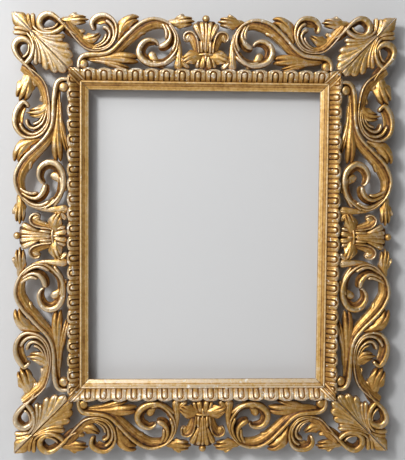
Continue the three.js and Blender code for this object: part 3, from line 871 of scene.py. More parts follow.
BUTTON_PROFILE = ((1.0, 0.0), (1.0, 0.6), (0.95, 0.78), (0.82, 0.91), (0.6, 0.98), (0.3, 1.0), (0.02, 1.0))
BALL_PROFILE = ((0.7, 0.0), (0.9, 0.25), (1.0, 0.5), (0.92, 0.72), (0.7, 0.9), (0.4, 0.98), (0.04, 1.0))
VOLUTE_EYE = Boss(place=(203.5, 7.5), radius=8.2, crest=15.5, profile=BUTTON_PROFILE)
PALMETTE_BALL = Boss(place=(0, 85), radius=6.2, crest=13.5, profile=BALL_PROFILE)


@dataclass
class CarvedRail:
    """One rail of pierced foliage on its plain border."""

    rail: Rail
    plan: FoliagePlan
    border_ease: float = 0.6
    vase_height: float = 10.5
    layer_step: float = 0.015

    def border(self) -> Patch:
        """The plain board under the mouldings: a flat section carried from mitre to mitre.

        Returns:
            The closed board.
        """
        sizes = self.rail.sizes
        section = np.array([
            (sizes.sight_moulding_width, sizes.board_back),
            (sizes.sight_moulding_width, sizes.board_front),
            (sizes.border_outer - self.border_ease, sizes.board_front),
            (sizes.border_outer, sizes.board_front - self.border_ease),
            (sizes.border_outer, sizes.board_back),
        ])
        return mitred_bar(self.rail, section, np.full(len(section), 0.1), self.plan.mitre_gap, stations=2)

    def vase(self) -> Patch:
        """The palmette's body: a low round back whose half width follows a smooth row of knots.

        Returns:
            The closed body.
        """
        sizes = self.rail.sizes
        knots = np.array([
            (0, -4, 8), (0, 6, 10), (0, 24, 10), (0, 40, 12), (0, 52, 12), (0, 66, 15), (0, 76, 19),
            (0, 81, 14),
        ], float)
        rows = smooth_rows(knots, np.linspace(0.0, 1.0, 30))
        across = np.linspace(-1.0, 1.0, 13)
        tops = np.empty((len(rows), len(across), 3))
        tops[..., 0] = rows[:, 2, None] * across
        tops[..., 1] = rows[:, 1, None] + sizes.border_outer
        tops[..., 2] = sizes.board_back + self.vase_height * (1.0 - 0.5 * np.abs(across) ** 2)
        return walled(tops, np.full(tops.shape[:2], 0.12), sizes.board_back)

    def carve(self) -> Patch:
        """Carves both halves of the rail, each with its own small wander of the hand.

        The flat backs of strands that cross lie a hair apart in depth, so that none share a plane.

        Returns:
            All the foliage and the border as one piece, in the rail's coordinates.
        """
        patches = [self.border(), self.vase()]
        for half in range(2):
            rng = np.random.default_rng([SEED, self.rail.side.value, half])
            strands = SCROLLS + LEAVES + (SQUARE_TIP,)
            strands += UPRIGHT_LEAVES if self.rail.side.upright else SHORT_LEAVES
            carved = [strand.carve(self.rail, self.plan, rng) for strand in strands]
            carved.append(VOLUTE_EYE.carve(self.rail, self.plan))
            patches += [patch.mirrored() for patch in carved] if half else carved
        rng = np.random.default_rng([SEED, self.rail.side.value])
        patches += [leaf.carve(self.rail, self.plan, rng) for leaf in PALMETTE_MIDDLE]
        patches.append(PALMETTE_BALL.carve(self.rail, self.plan))
        for layer, patch in enumerate(patches):
            flat_back = patch.points[:, 2] < self.rail.sizes.board_back + BACK_LIMIT
            patch.points[:, 2] += self.layer_step * layer * flat_back
        whole = joined(patches)
        whole.points = self.rail.trim(whole.points, self.plan.mitre_gap)
        limit = self.rail.half_sight + whole.points[:, 1]
        # grime and painted shade in the hollows, rubbing on the crests
        whole.relief = PatinaAndShade().grime_shade_and_rub(whole, self.rail.sizes.board_back)
        whole.relief = whole.relief * (0.3 + 0.7 * smoothstep(0.6, 3.0, limit - np.abs(whole.points[:, 0])))
        return whole


def mitred_bar(rail: Rail, section: np.ndarray, relief: np.ndarray, gap: float, stations: int) -> Patch:
    """Carries a closed section along a rail, with both ends cut on the mitre.

    Args:
        rail: the rail that the bar belongs to.
        section: rows of v and height round the section.
        relief: relief value of each row.
        gap: the open joint between two rails.
        stations: how many copies of the section stand along the bar.

    Returns:
        The closed bar.
    """
    along = np.linspace(-1.0, 1.0, stations)
    rings = np.empty((stations, len(section), 3))
    rings[..., 0] = along[:, None] * (rail.half_sight + section[:, 0] - gap / math.sqrt(2))
    rings[..., 1] = section[:, 0]
    rings[..., 2] = section[:, 1]
    return closed_loft(rings, np.broadcast_to(relief, rings.shape[:2]))


@dataclass
class EggMoulding:
    """A quarter-round of arched panels, each with an egg in a U-shaped groove, and a leaf on each mitre."""

    rail: Rail
    mitre_gap: float = 0.9
    long_pitch: float = 24.8
    short_pitch: float = 26.0
    egg_half_width: float = 4.3
    egg_place: float = 11.0
    egg_stand: float = 1.0
    groove_outer: float = 6.1
    groove_depth: float = 2.6
    bead_height: float = 0.5
    bead_width: float = 0.8
    edge_drop: float = 2.6
    panel_drop: float = 1.7
    leaf_ridge: float = 5.0
    panel_round: float = 2.4
    scallop: float = 4.8
    foot: float = 1.0
    corner_leaf: float = 9.0
    grid_step: float = 0.7

    @property
    def pitch(self) -> float:
        """Distance from one egg to the next on this rail."""
        return self.long_pitch if self.rail.side.upright else self.short_pitch

    def off_egg(self, u: np.ndarray) -> np.ndarray:
        """Distance along the rail from the nearest egg's middle."""
        return np.abs(u / self.pitch - np.floor(u / self.pitch) - 0.5) * self.pitch

    def surface(self, u: np.ndarray, w: np.ndarray) -> tuple[np.ndarray, np.ndarray]:
        """Height and relief of the carved face.

        A quarter sine falls towards the sight. Each panel is rounded off beside its neighbours. Distance
        from a line that ends in the egg's middle shapes the rest: the egg is half a circle of it, then
        comes the groove, then a bead on the panel's edge. Near the mitre a ridged leaf takes over.

        Args:
            u: places along the rail.
            w: places outwards from the moulding's inner edge.

        Returns:
            Heights above the board's front, and relief values.
        """
        sizes = self.rail.sizes
        width = sizes.border_outer - sizes.sight_moulding_width
        full = sizes.egg_crest - sizes.board_front - self.egg_stand - 0.2
        slope = np.sin(0.5 * np.pi * np.clip(w / (0.8 * width), 0.0, 1.0))
        base = self.foot + (full - self.foot) * slope
        base = base - self.edge_drop * smoothstep(0.84 * width, 1.06 * width, w)
        off = self.off_egg(u)
        d = np.hypot(off, np.clip(w - self.egg_place, 0.0, None))
        egg = np.sqrt(np.clip(1.0 - (d / self.egg_half_width) ** 2, 0.0, 1.0))
        sunk = 1.0 - smoothstep(self.groove_outer - 1.1, self.groove_outer + 0.5, d)
        bead = np.exp(-(((d - self.groove_outer - 0.7) / self.bead_width) ** 2))
        panel = smoothstep(0.0, self.panel_round, 0.5 * self.pitch - off)
        height = base - self.panel_drop * (1.0 - panel) - self.groove_depth * sunk + self.bead_height * bead
        height = height + (self.groove_depth + self.egg_stand) * egg
        # a painted highlight on each egg just inside its outer end
        painted_highlight = np.exp(-(((w - self.egg_place + 1.0) / 4.0) ** 2))
        rubbed = smoothstep(0.72 * width, 0.92 * width, w) * panel
        # the grooves round the eggs keep a low relief: dark with grime and painted shade
        relief = (0.2 + 0.42 * panel + 0.2 * rubbed) * (1.0 - sunk) + 0.2 * bead + (0.52 + 0.42 * painted_highlight) * egg
        # darker towards the sight edge: grime together with painted shade on the face that turns down to the
        # sight
        relief = (relief + 0.1) * (0.6 + 0.4 * smoothstep(0.0, 0.7 * width, w))
        from_mitre = (self.rail.half_sight + sizes.sight_moulding_width + w - np.abs(u)) / math.sqrt(2)
        leaf = 1.0 - smoothstep(self.corner_leaf - 2.5, self.corner_leaf, from_mitre)
        ridge = np.cos(2.0 * np.pi * from_mitre / self.leaf_ridge) * smoothstep(0.0, 2.0, from_mitre)
        leaf_height = base + 0.3 + 0.7 * ridge - 1.4 * smoothstep(2.0, self.corner_leaf, from_mitre)
        leaf_relief = 0.5 + 0.3 * ridge
        return height + (leaf_height - height) * leaf, relief + (leaf_relief - relief) * leaf

    def carve(self) -> Patch:
        """Lays the carved face on a grid from mitre to mitre, scalloped along its outer edge.

        Returns:
            The closed moulding, in the rail's coordinates.
        """
        sizes = self.rail.sizes
        inner = sizes.sight_moulding_width
        half = self.rail.half_sight + sizes.border_outer
        along = np.linspace(-1.0, 1.0, int(2.0 * half / self.grid_step))[:, None]
        across = np.linspace(0.0, 1.0, 30)
        scallop = self.scallop * (self.off_egg(along * half) / (0.5 * self.pitch)) ** 2.8
        w = across * (sizes.border_outer - inner + 1.0 - scallop)
        u = along * (self.rail.half_sight + inner + w - self.mitre_gap / math.sqrt(2))
        height, relief = self.surface(u, w)
        tops = np.stack([u, inner + w, sizes.board_front + height], axis=-1)
        return walled(tops, relief, sizes.board_front)


@dataclass
class SightMoulding:
    """The inner moulding: a bead, and a cove that slopes down to the sight edge."""

    rail: Rail
    mitre_gap: float = 0.9
    edge: float = 4.5
    repair_half_length: float = 26.0
    repair_inner: float = 8.6
    repair_outer: float = 14.6
    repair_depth: float = 0.3
    repair_relief: float = 0.8
    stations: int = 150

    def carve(self) -> Patch:
        """Carries the section from mitre to mitre; the bottom one has a stretch mended with a flat strip.

        Returns:
            The closed moulding, in the rail's coordinates.
        """
        sizes = self.rail.sizes
        back = sizes.board_back
        bead = sizes.sight_crest - back
        width = sizes.sight_moulding_width
        edge = self.edge
        section = np.array([
            (0.0, 0.0, 0.1), (0.0, edge - 0.8, 0.45), (0.3, edge - 0.2, 0.75), (1.0, edge + 0.2, 0.8),
            (2.5, edge + 0.8, 0.62), (4.2, edge + 1.5, 0.58), (5.4, edge + 2.1, 0.7), (5.9, edge + 2.3, 0.6),
            (6.2, edge + 2.0, 0.25), (6.9, edge + 2.1, 0.3), (8.0, edge + 2.9, 0.5), (9.2, edge + 4.0, 0.55),
            (10.2, edge + 5.1, 0.45), (10.7, edge + 5.3, 0.1), (10.9, bead - 1.2, 0.35),
            (11.4, bead - 0.4, 0.7), (12.4, bead, 0.85), (13.2, bead, 0.8), (14.2, bead - 0.5, 0.5),
            (14.8, bead - 1.4, 0.2), (width, 5.0, 0.05), (width, 0.0, 0.0),
        ])
        section[:, 1] += back
        bar = mitred_bar(self.rail, section[:, :2], section[:, 2], self.mitre_gap, self.stations)
        if self.rail.side is Side.BOTTOM:
            u, v, height = bar.points.T
            mended = (np.abs(u) < self.repair_half_length) & (v > self.repair_inner) & (v < self.repair_outer)
            bar.points[mended & (height > back + edge), 2] = back + bead - self.repair_depth
            bar.relief = np.where(mended, self.repair_relief, bar.relief)
        return bar


class Shader:
    """Adds nodes to one node tree, with their values and links given together."""

    def __init__(self, tree: bpy.types.NodeTree) -> None:
        """Keeps the tree of a material or of a node group."""
        self.tree = tree

    def add(self, kind: str, values: dict | None = None, **settings: object) -> bpy.types.Node:
        """Adds one node.

        Args:
            kind: the node's type name.
            values: for each input, by name or number, a constant or the output that feeds it.
            settings: properties of the node itself.

        Returns:
            The new node.
        """
        node = self.tree.nodes.new(kind)
        for name, value in settings.items():
            setattr(node, name, value)
        for key, value in (values or {}).items():
            if isinstance(value, bpy.types.NodeSocket):
                self.tree.links.new(value, node.inputs[key])
            else:
                node.inputs[key].default_value = value
        return node

    def math(self, operation: str, first: object, second: object = 0.0, third: object = 0.0) -> object:
        """Adds a math node and gives its output."""
        return self.add("ShaderNodeMath", {0: first, 1: second, 2: third}, operation=operation).outputs[0]

    def spread(self, value: object, low: float, high: float, start: float, end: float) -> object:
        """Maps low to start and high to end, keeps within those ends, and gives the output."""
        return self.add("ShaderNodeMapRange", {0: value, 1: low, 2: high, 3: start, 4: end}).outputs[0]

    def mix(self, factor: object, first: object, second: object) -> object:
        """Adds a colour mix, with factor as the second colour's share, and gives its output."""
        return self.add("ShaderNodeMix", {0: factor, 6: first, 7: second}, data_type="RGBA").outputs[2]

    def ramp(self, factor: object, stops: tuple[tuple[float, Span], ...]) -> object:
        """Adds a colour ramp.

        Args:
            factor: the place along the ramp.
            stops: places with their colours.

        Returns:
            The output socket.
        """
        node = self.add("ShaderNodeValToRGB", {0: factor})
        elements = node.color_ramp.elements
        while len(elements) < len(stops):
            elements.new(0.5)
        for element, (position, colour) in zip(elements, stops):
            element.position = position
            element.color = (*colour, 1.0)
        return node.outputs[0]

    def noise(self, vector: object, scale: float, detail: float = 3.0) -> object:
        """Adds a noise texture, with scale as features to the metre, and gives its output."""
        return self.add("ShaderNodeTexNoise", {"Vector": vector, "Scale": scale, "Detail": detail}).outputs[0]


def new_material(name: str) -> tuple[bpy.types.Material, Shader]:
    """Starts a material with an empty node tree.

    Args:
        name: the material's name.

    Returns:
        The material and its shader helper.
    """
    material = bpy.data.materials.new(name)
    material.use_nodes = True
    material.node_tree.nodes.clear()
    return material, Shader(material.node_tree)


class NodeGroups:
    """The effects that several finishes share, each a node group built once."""

    def __init__(self) -> None:
        """Builds the three groups."""
        self.worn_gilding = self._worn_gilding()
        self.wood_grain = self._wood_grain()
        self.old_metal = self._old_metal()

    @staticmethod
    def _new(name: str, values: tuple[str, ...], colours: tuple[str, ...]) -> tuple[object, Shader]:
        """Starts a group with a vector input and named value and colour inputs.

        Args:
            name: the group's name.
            values: names of the value inputs.
            colours: names of the colour inputs.

        Returns:
            The group's input node and its shader helper.
        """
        tree = bpy.data.node_groups.new(name, "ShaderNodeTree")
        tree.interface.new_socket("Vector", in_out="INPUT", socket_type="NodeSocketVector")
        for label in values:
            tree.interface.new_socket(label, in_out="INPUT", socket_type="NodeSocketFloat")
        for label in colours:
            tree.interface.new_socket(label, in_out="INPUT", socket_type="NodeSocketColor")
        shader = Shader(tree)
        return shader.add("NodeGroupInput"), shader

    @staticmethod
    def _end(shader: Shader, outputs: dict[str, object]) -> bpy.types.NodeTree:
        """Ends a group: Color goes out as a colour, and the rest as values.

        Args:
            shader: the group's shader helper.
            outputs: sockets by output name.

        Returns:
            The group.
        """
        for label in outputs:
            kind = "NodeSocketColor" if label == "Color" else "NodeSocketFloat"
            shader.tree.interface.new_socket(label, in_out="OUTPUT", socket_type=kind)
        shader.add("NodeGroupOutput", outputs)
        return shader.tree

    def _worn_gilding(self) -> bpy.types.NodeTree:
        """Gold leaf rubbed to its red ground on crests, browned in hollows by grime and painted shade, and
        chipped to white in places.

        Returns:
            The group.
        """
        source, shader = self._new("worn_gilding", ("Relief", "Wear", "Chips", "Pale", "Metal"), ())
        place = source.outputs["Vector"]
        relief = source.outputs["Relief"]
        broad = shader.noise(place, 28.0, 2.0)
        mottle = shader.noise(place, 190.0, 4.0)
        speck = shader.noise(place, 620.0, 3.0)
        tone = shader.math("MULTIPLY_ADD", broad, 0.5, shader.math("SUBTRACT", relief, 0.25))
        tone = shader.math("MULTIPLY_ADD", mottle, 0.8, shader.math("SUBTRACT", tone, 0.4))
        colour = shader.ramp(tone, (
            (0.0, (0.035, 0.014, 0.004)),
            (0.2, (0.17, 0.066, 0.013)),
            (0.46, (0.42, 0.215, 0.046)),
            (0.72, (0.63, 0.385, 0.115)),
            (1.0, (0.80, 0.63, 0.39)),
        ))
        pale = shader.math("MULTIPLY_ADD", relief, 0.5, shader.math("MULTIPLY_ADD", broad, 0.6, mottle))
        pale = shader.math("MULTIPLY", shader.spread(pale, 1.12, 1.5, 0.0, 0.75), source.outputs["Pale"])
        colour = shader.mix(pale, colour, (0.74, 0.60, 0.45, 1.0))
        rubbed = shader.spread(shader.math("MULTIPLY", mottle, speck), 0.29, 0.4, 0.0, 0.55)
        rubbed = shader.math("MULTIPLY", rubbed, source.outputs["Wear"])
        colour = shader.mix(rubbed, colour, (0.24, 0.085, 0.03, 1.0))
        chip = shader.math("MULTIPLY_ADD", relief, 0.14, shader.noise(place, 170.0, 4.0))
        chip = shader.math("MULTIPLY_ADD", source.outputs["Chips"], 0.05, chip)
        chip = shader.spread(chip, 0.745, 0.775, 0.0, 1.0)
        colour = shader.mix(chip, colour, (0.82, 0.77, 0.68, 1.0))
        dull = shader.math("MAXIMUM", rubbed, chip)
        metal = shader.spread(tone, 0.1, 0.7, 0.4, 0.8)
        metal = shader.math("MULTIPLY", metal, shader.math("SUBTRACT", 1.0, dull))
        metal = shader.math("MULTIPLY", metal, source.outputs["Metal"])
        rough = shader.math("MULTIPLY_ADD", dull, 0.3, shader.spread(tone, 0.1, 0.8, 0.58, 0.36))
        rough = shader.math("MULTIPLY_ADD", speck, 0.12, shader.math("SUBTRACT", rough, 0.06))
        height = shader.math("MULTIPLY_ADD", mottle, 0.7, shader.math("MULTIPLY", speck, 0.3))
        height = shader.math("MULTIPLY_ADD", chip, -0.5, height)
        return self._end(shader, {"Color": colour, "Metallic": metal, "Roughness": rough, "Height": height})

    def _wood_grain(self) -> bpy.types.NodeTree:
        """Long grain of bare, darkened softwood, along the group's own x direction.

        Returns:
            The group.
        """
        source, shader = self._new("wood_grain", (), ("Light", "Dark"))
        place = source.outputs["Vector"]
        stretch = shader.add("ShaderNodeMapping", {"Vector": place, "Scale": (6.0, 150.0, 150.0)})
        grain = shader.noise(stretch.outputs[0], 1.0, 6.0)
        stain = shader.noise(place, 14.0, 4.0)
        lines = shader.math("MULTIPLY_ADD", grain, 1.6, shader.math("MULTIPLY_ADD", stain, 0.8, -0.7))
        colour = shader.mix(lines, source.outputs["Dark"], source.outputs["Light"])
        rough = shader.math("MULTIPLY_ADD", grain, -0.15, 0.92)
        return self._end(shader, {"Color": colour, "Roughness": rough, "Height": grain})

    def _old_metal(self) -> bpy.types.NodeTree:
        """Fittings with spots of tarnish and fine rubbing.

        Returns:
            The group.
        """
        source, shader = self._new("old_metal", (), ("Clean", "Tarnish"))
        patch = shader.noise(source.outputs["Vector"], 130.0, 5.0)
        fine = shader.noise(source.outputs["Vector"], 1400.0, 2.0)
        tarnish = shader.spread(patch, 0.46, 0.62, 0.0, 1.0)
        colour = shader.mix(tarnish, source.outputs["Clean"], source.outputs["Tarnish"])
        metal = shader.math("MULTIPLY_ADD", tarnish, -0.45, 0.95)
        rough = shader.math("MULTIPLY_ADD", tarnish, 0.28, shader.math("MULTIPLY_ADD", fine, 0.2, 0.24))
        height = shader.math("MULTIPLY_ADD", fine, 0.5, patch)
        return self._end(shader, {"Color": colour, "Metallic": metal, "Roughness": rough, "Height": height})


@dataclass(frozen=True)
class Finish:
    """A finish on one of the shared groups; values are the group's own inputs for this finish."""

    name: str
    values: dict[str, float | Colour]
    bump: float
    bump_height: float
    turn: Span = (0.0, 0.0, 0.0)
    coat: float = 0.0
    coat_roughness: float = 0.32

    def material(self, group: bpy.types.NodeTree) -> bpy.types.Material:
        """Builds the finish on object coordinates, and on the piece's own relief where the group reads it.

        Args:
            group: the shared group.

        Returns:
            The material.
        """
        material, shader = new_material(self.name)
        place = shader.add("ShaderNodeTexCoord").outputs["Object"]
        if any(self.turn):
            place = shader.add("ShaderNodeMapping", {"Vector": place, "Rotation": self.turn}).outputs[0]
        effect = shader.add("ShaderNodeGroup", node_tree=group)
        shader.tree.links.new(place, effect.inputs["Vector"])
        if "Relief" in effect.inputs:
            relief = shader.add("ShaderNodeAttribute", attribute_name="relief").outputs["Fac"]
            shader.tree.links.new(relief, effect.inputs["Relief"])
        for label, value in self.values.items():
            effect.inputs[label].default_value = value
        bump = shader.add("ShaderNodeBump", {
            "Strength": self.bump, "Distance": self.bump_height, "Height": effect.outputs["Height"],
        })
        surface = shader.add("ShaderNodeBsdfPrincipled", {
            "Base Color": effect.outputs["Color"],
            "Roughness": effect.outputs["Roughness"],
            "Normal": bump.outputs[0],
            "Coat Weight": self.coat,
            "Coat Roughness": self.coat_roughness,
        })
        if "Metallic" in effect.outputs:
            shader.tree.links.new(effect.outputs["Metallic"], surface.inputs["Metallic"])
        shader.add("ShaderNodeOutputMaterial", {"Surface": surface.outputs[0]})
        return material


def gilding(name: str, wear: float, chips: float, pale: float, metal: float) -> Finish:
    """Worn leaf gilding.

    Args:
        name: the finish's name.
        wear: how far the gold is rubbed through to its red ground.
        chips: how many white chips show.
        pale: how far the crests are rubbed to the pale ground.
        metal: how bare the gold lies; less where it is toned.

    Returns:
        The finish.
    """
    values = {"Wear": wear, "Chips": chips, "Pale": pale, "Metal": metal}
    return Finish(name, values, bump=0.45, bump_height=0.0012, coat=0.05)


OLD_DARK = (0.13, 0.075, 0.036, 1.0)
OLD_WOOD = {"Light": (0.30, 0.19, 0.10, 1.0), "Dark": OLD_DARK}
KEY_WOOD = {"Light": (0.42, 0.27, 0.14, 1.0), "Dark": OLD_DARK}
BRASS = {"Clean": (0.62, 0.43, 0.16, 1.0), "Tarnish": (0.16, 0.11, 0.05, 1.0)}
STEEL = {"Clean": (0.42, 0.41, 0.39, 1.0), "Tarnish": (0.14, 0.085, 0.05, 1.0)}


def placed(name: str, data: bpy.types.ID) -> bpy.types.Object:
    """Makes an object of a mesh, a lamp or a camera.

    Args:
        name: the object's name.
        data: what it shows.

    Returns:
        The object, linked to the scene.
    """
    thing = bpy.data.objects.new(name, data)
    bpy.context.scene.collection.objects.link(thing)
    return thing


def new_piece(
    name: str, patch: Patch, points: np.ndarray, materials: list[bpy.types.Material]
) -> bpy.types.Object:
    """Makes an object of a closed piece.

    Args:
        name: the object's name.
        patch: the piece's faces and relief.
        points: its points in world metres.
        materials: its material slots; a second one takes the faces that look backwards.

    Returns:
        The object, linked to the scene.
    """
    mesh = bpy.data.meshes.new(name)
    mesh.from_pydata(points.tolist(), [], patch.quads.tolist() + patch.triangles.tolist())
    relief = mesh.attributes.new("relief", "FLOAT", "POINT")
    relief.data.foreach_set("value", patch.relief.astype(np.float32))
    for material in materials:
        mesh.materials.append(material)
    if len(materials) > 1:
        normals = np.empty(len(mesh.polygons) * 3, np.float32)
        mesh.polygons.foreach_get("normal", normals)
        looks_back = (normals.reshape(-1, 3)[:, 1] > LOOKS_BACK).astype(np.int32)
        mesh.polygons.foreach_set("material_index", looks_back)
    mesh.shade_smooth()
    mesh.set_sharp_from_angle(angle=math.radians(SHARP_ANGLE))
    return placed(name, mesh)


def stand_in(piece: bpy.types.Object, node: str, body: str) -> None:
    """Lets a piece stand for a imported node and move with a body.

    Args:
        piece: the new piece.
        node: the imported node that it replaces.
        body: the body that it rides on.
    """
    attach(piece, body)
    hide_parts(node)
    LOG.info("%s replaces %s", piece.name, node)


@dataclass(frozen=True)
class NodeBox:
    """A packed fitting's box in millimetres: its middle, its half size and its two depths."""

    x: float
    z: float
    half_x: float
    half_z: float
    front: float
    back: float

    @classmethod
    def of(cls, node: str) -> "NodeBox":
        """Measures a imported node.

        Args:
            node: the node's name.

        Returns:
            Its box.
        """
        low, high = (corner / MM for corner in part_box(node))
        middle = (low + high) / 2
        half = (high - low) / 2
        return cls(middle.x, middle.z, half.x, half.z, low.y, high.y)


@dataclass(frozen=True)
class TurnButton:
    """A flat brass bar with round ends that turns on one screw."""

    hole_radius: float = 1.8
    edge_round: float = 0.8
    front_ease: float = 0.3
    hole_ease: float = 0.2
    arc_points: int = 25

    def shape(self, box: NodeBox) -> Patch:
        """Carries the bar's section round its outline, which is a straight stretch between two half circles.

        Args:
            box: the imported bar's box.

        Returns:
            The closed bar, in the frame's coordinates.
        """
        half_turn = np.linspace(-0.5 * np.pi, 0.5 * np.pi, self.arc_points)
        turn = np.concatenate([half_turn, half_turn + np.pi])
        end = np.repeat([1.0, -1.0], self.arc_points) * (box.half_z - box.half_x)
        soft = self.edge_round
        section = np.array([
            (self.front_ease, box.front), (0.0, box.front + self.front_ease), (0.0, box.back - soft),
            (0.3 * soft, box.back - 0.3 * soft), (soft, box.back - 0.05), (2.0 * soft, box.back),
        ])
        radius = box.half_x - section[:, 0]
        outline = np.stack([
            radius * np.sin(turn)[:, None],
            np.broadcast_to(section[:, 1], (len(turn), len(section))),
            end[:, None] + radius * np.cos(turn)[:, None],
        ], axis=-1)
        around = np.arctan2(outline[:, :1, 0], outline[:, :1, 2])
        hole_radius = self.hole_radius + np.array([self.hole_ease, 0.0, 0.0])
        hole = np.stack([
            hole_radius * np.sin(around),
            np.broadcast_to([box.back, box.back - self.hole_ease, box.front], (len(turn), 3)),
            hole_radius * np.cos(around),
        ], axis=-1)
        bar = wrapped_grid(np.concatenate([outline, hole], axis=1))
        bar.points = bar.points + np.array([box.x, 0.0, box.z])
        return bar


@dataclass(frozen=True)
class SlottedScrew:
    """A round-headed wood screw with a straight slot."""

    head_height: float = 2.0
    slot_half_width: float = 0.45
    slot_depth: float = 1.0
    shank_radius: float = 1.5
    shank_sides: int = 20
    rim_share: float = 0.3

    def shape(self, box: NodeBox, turn: float) -> Patch:
        """Builds the head on a grid of chords beside the slot, and the shank as a round bar.

        The head is a dome: a rim, and on it half an ellipse of the distance from the axis. The slot cuts
        it down to a flat floor.

        Args:
            box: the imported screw's box.
            turn: the way the slot points, in radians.

        Returns:
            The closed head and shank, in the frame's coordinates.
        """
        radius = min(box.half_x, box.half_z)
        under = box.back - self.head_height
        slot = self.slot_half_width / radius
        flank = np.linspace(slot + 0.012, 0.985, 9)
        across = radius * np.concatenate([-flank[::-1], np.linspace(-slot, slot, 3), flank])[:, None]
        along = np.linspace(-1.0, 1.0, 13) * np.sqrt(radius**2 - across**2)
        dome = np.sqrt(np.clip(1.0 - (across**2 + along**2) / radius**2, 0.0, 1.0))
        rise = self.head_height * (self.rim_share + (1.0 - self.rim_share) * dome)
        in_slot = np.abs(across) <= self.slot_half_width + 0.001
        floor = np.where(in_slot, self.head_height - self.slot_depth, rise)
        x = across * math.cos(turn) - along * math.sin(turn)
        z = across * math.sin(turn) + along * math.cos(turn)
        top = np.stack([x, under + np.minimum(rise, floor), z], axis=-1)
        bottom = np.stack([x, np.full_like(x, under), z], axis=-1)[:, ::-1]
        head_rings = np.concatenate([top, bottom], axis=1)
        angle = circle(self.shank_sides)
        depths = np.array([[under + 0.3], [box.front]])
        shank_rings = np.stack(np.broadcast_arrays(
            self.shank_radius * np.cos(angle), depths, self.shank_radius * np.sin(angle),
        ), axis=-1)
        screw = joined([closed_loft(rings, np.ones(rings.shape[:2])) for rings in (head_rings, shank_rings)])
        screw.points = screw.points + np.array([box.x, 0.0, box.z])
        return screw


@dataclass(frozen=True)
class WireRing:
    """A round wire bent into a D: a bar, two small bends, short sides and a half-round loop below."""

    bend: float = 2.0
    sides: int = 16

    def shape(self, box: NodeBox) -> Patch:
        """Carries a round section along the D.

        Args:
            box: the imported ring's box.

        Returns:
            The closed ring, in the frame's coordinates.
        """
        wire = 0.5 * (box.back - box.front)
        half = box.half_x - wire
        top = box.z + box.half_z - wire
        loop = box.z - box.half_z + wire + half
        quarter = np.linspace(0.5 * np.pi, 0.0, 9)
        lower = np.linspace(0.0, -np.pi, 41)
        right = np.stack([
            half - self.bend + self.bend * np.cos(quarter), top - self.bend + self.bend * np.sin(quarter),
        ], axis=1)
        left = right[::-1] * np.array([-1.0, 1.0])
        round_end = np.stack([half * np.cos(lower), loop + half * np.sin(lower)], axis=1)
        path = np.concatenate([right, round_end, left])
        ahead = np.roll(path, -1, axis=0) - np.roll(path, 1, axis=0)
        ahead /= np.linalg.norm(ahead, axis=1, keepdims=True)
        angle = circle(self.sides)
        out = wire * np.cos(angle)
        rings = np.stack([
            box.x + path[:, :1] - ahead[:, 1:] * out,
            np.broadcast_to(box.front + wire + wire * np.sin(angle), (len(path), self.sides)),
            path[:, 1:] + ahead[:, :1] * out,
        ], axis=-1)
        return wrapped_grid(rings)


@dataclass(frozen=True)
class HangerStrap:
    """A steel strap with a round lower end, rolled at its top round the ring's bar."""

    thickness: float = 1.2
    edge_round: float = 0.3
    roll: float = 1.92

    def shape(self, box: NodeBox) -> Patch:
        """Carries a flat section up the strap and round the knuckle, whose path is a circle.

        Args:
            box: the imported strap's box.

        Returns:
            The closed strap, in the frame's coordinates.
        """
        knuckle = 0.5 * (box.back - box.front)
        middle = knuckle - 0.5 * self.thickness
        axis_height = box.z + box.half_z - knuckle
        straight = axis_height - (box.z - box.half_z)
        fall = np.linspace(0.0, 1.0, 17)
        low = box.half_x * (1.0 - np.cos(0.5 * np.pi * fall)) + 0.05
        height = np.concatenate([low, np.linspace(box.half_x + 0.5, straight, 8)])
        half_width = np.sqrt(box.half_x**2 - np.clip(box.half_x - height, 0.0, None) ** 2)
        angle = np.linspace(0.0, self.roll * np.pi, 40)[1:]
        path_z = np.concatenate([height - straight, middle * np.sin(angle)]) + axis_height
        path_y = np.concatenate([np.zeros_like(height), middle - middle * np.cos(angle)])
        path_y = path_y + box.front + 0.5 * self.thickness
        half_width = np.concatenate([half_width, np.full(len(angle), box.half_x)])
        turn = np.concatenate([np.zeros_like(height), angle])
        half = 0.5 * self.thickness
        soft = self.edge_round
        across = np.array([-1.0, -1.0, -1.0, -1.0, 1.0, 1.0, 1.0, 1.0])
        inset = np.array([soft, 0.0, 0.0, soft, soft, 0.0, 0.0, soft])
        lift = np.array([-half, -half + soft, half - soft, half, half, half - soft, -half + soft, -half])
        rings = np.stack([
            box.x + across * np.maximum(half_width[:, None] - inset, 0.02),
            path_y[:, None] + lift * np.cos(turn)[:, None],
            path_z[:, None] - lift * np.sin(turn)[:, None],
        ], axis=-1)
        return closed_loft(rings, np.ones(rings.shape[:2]))


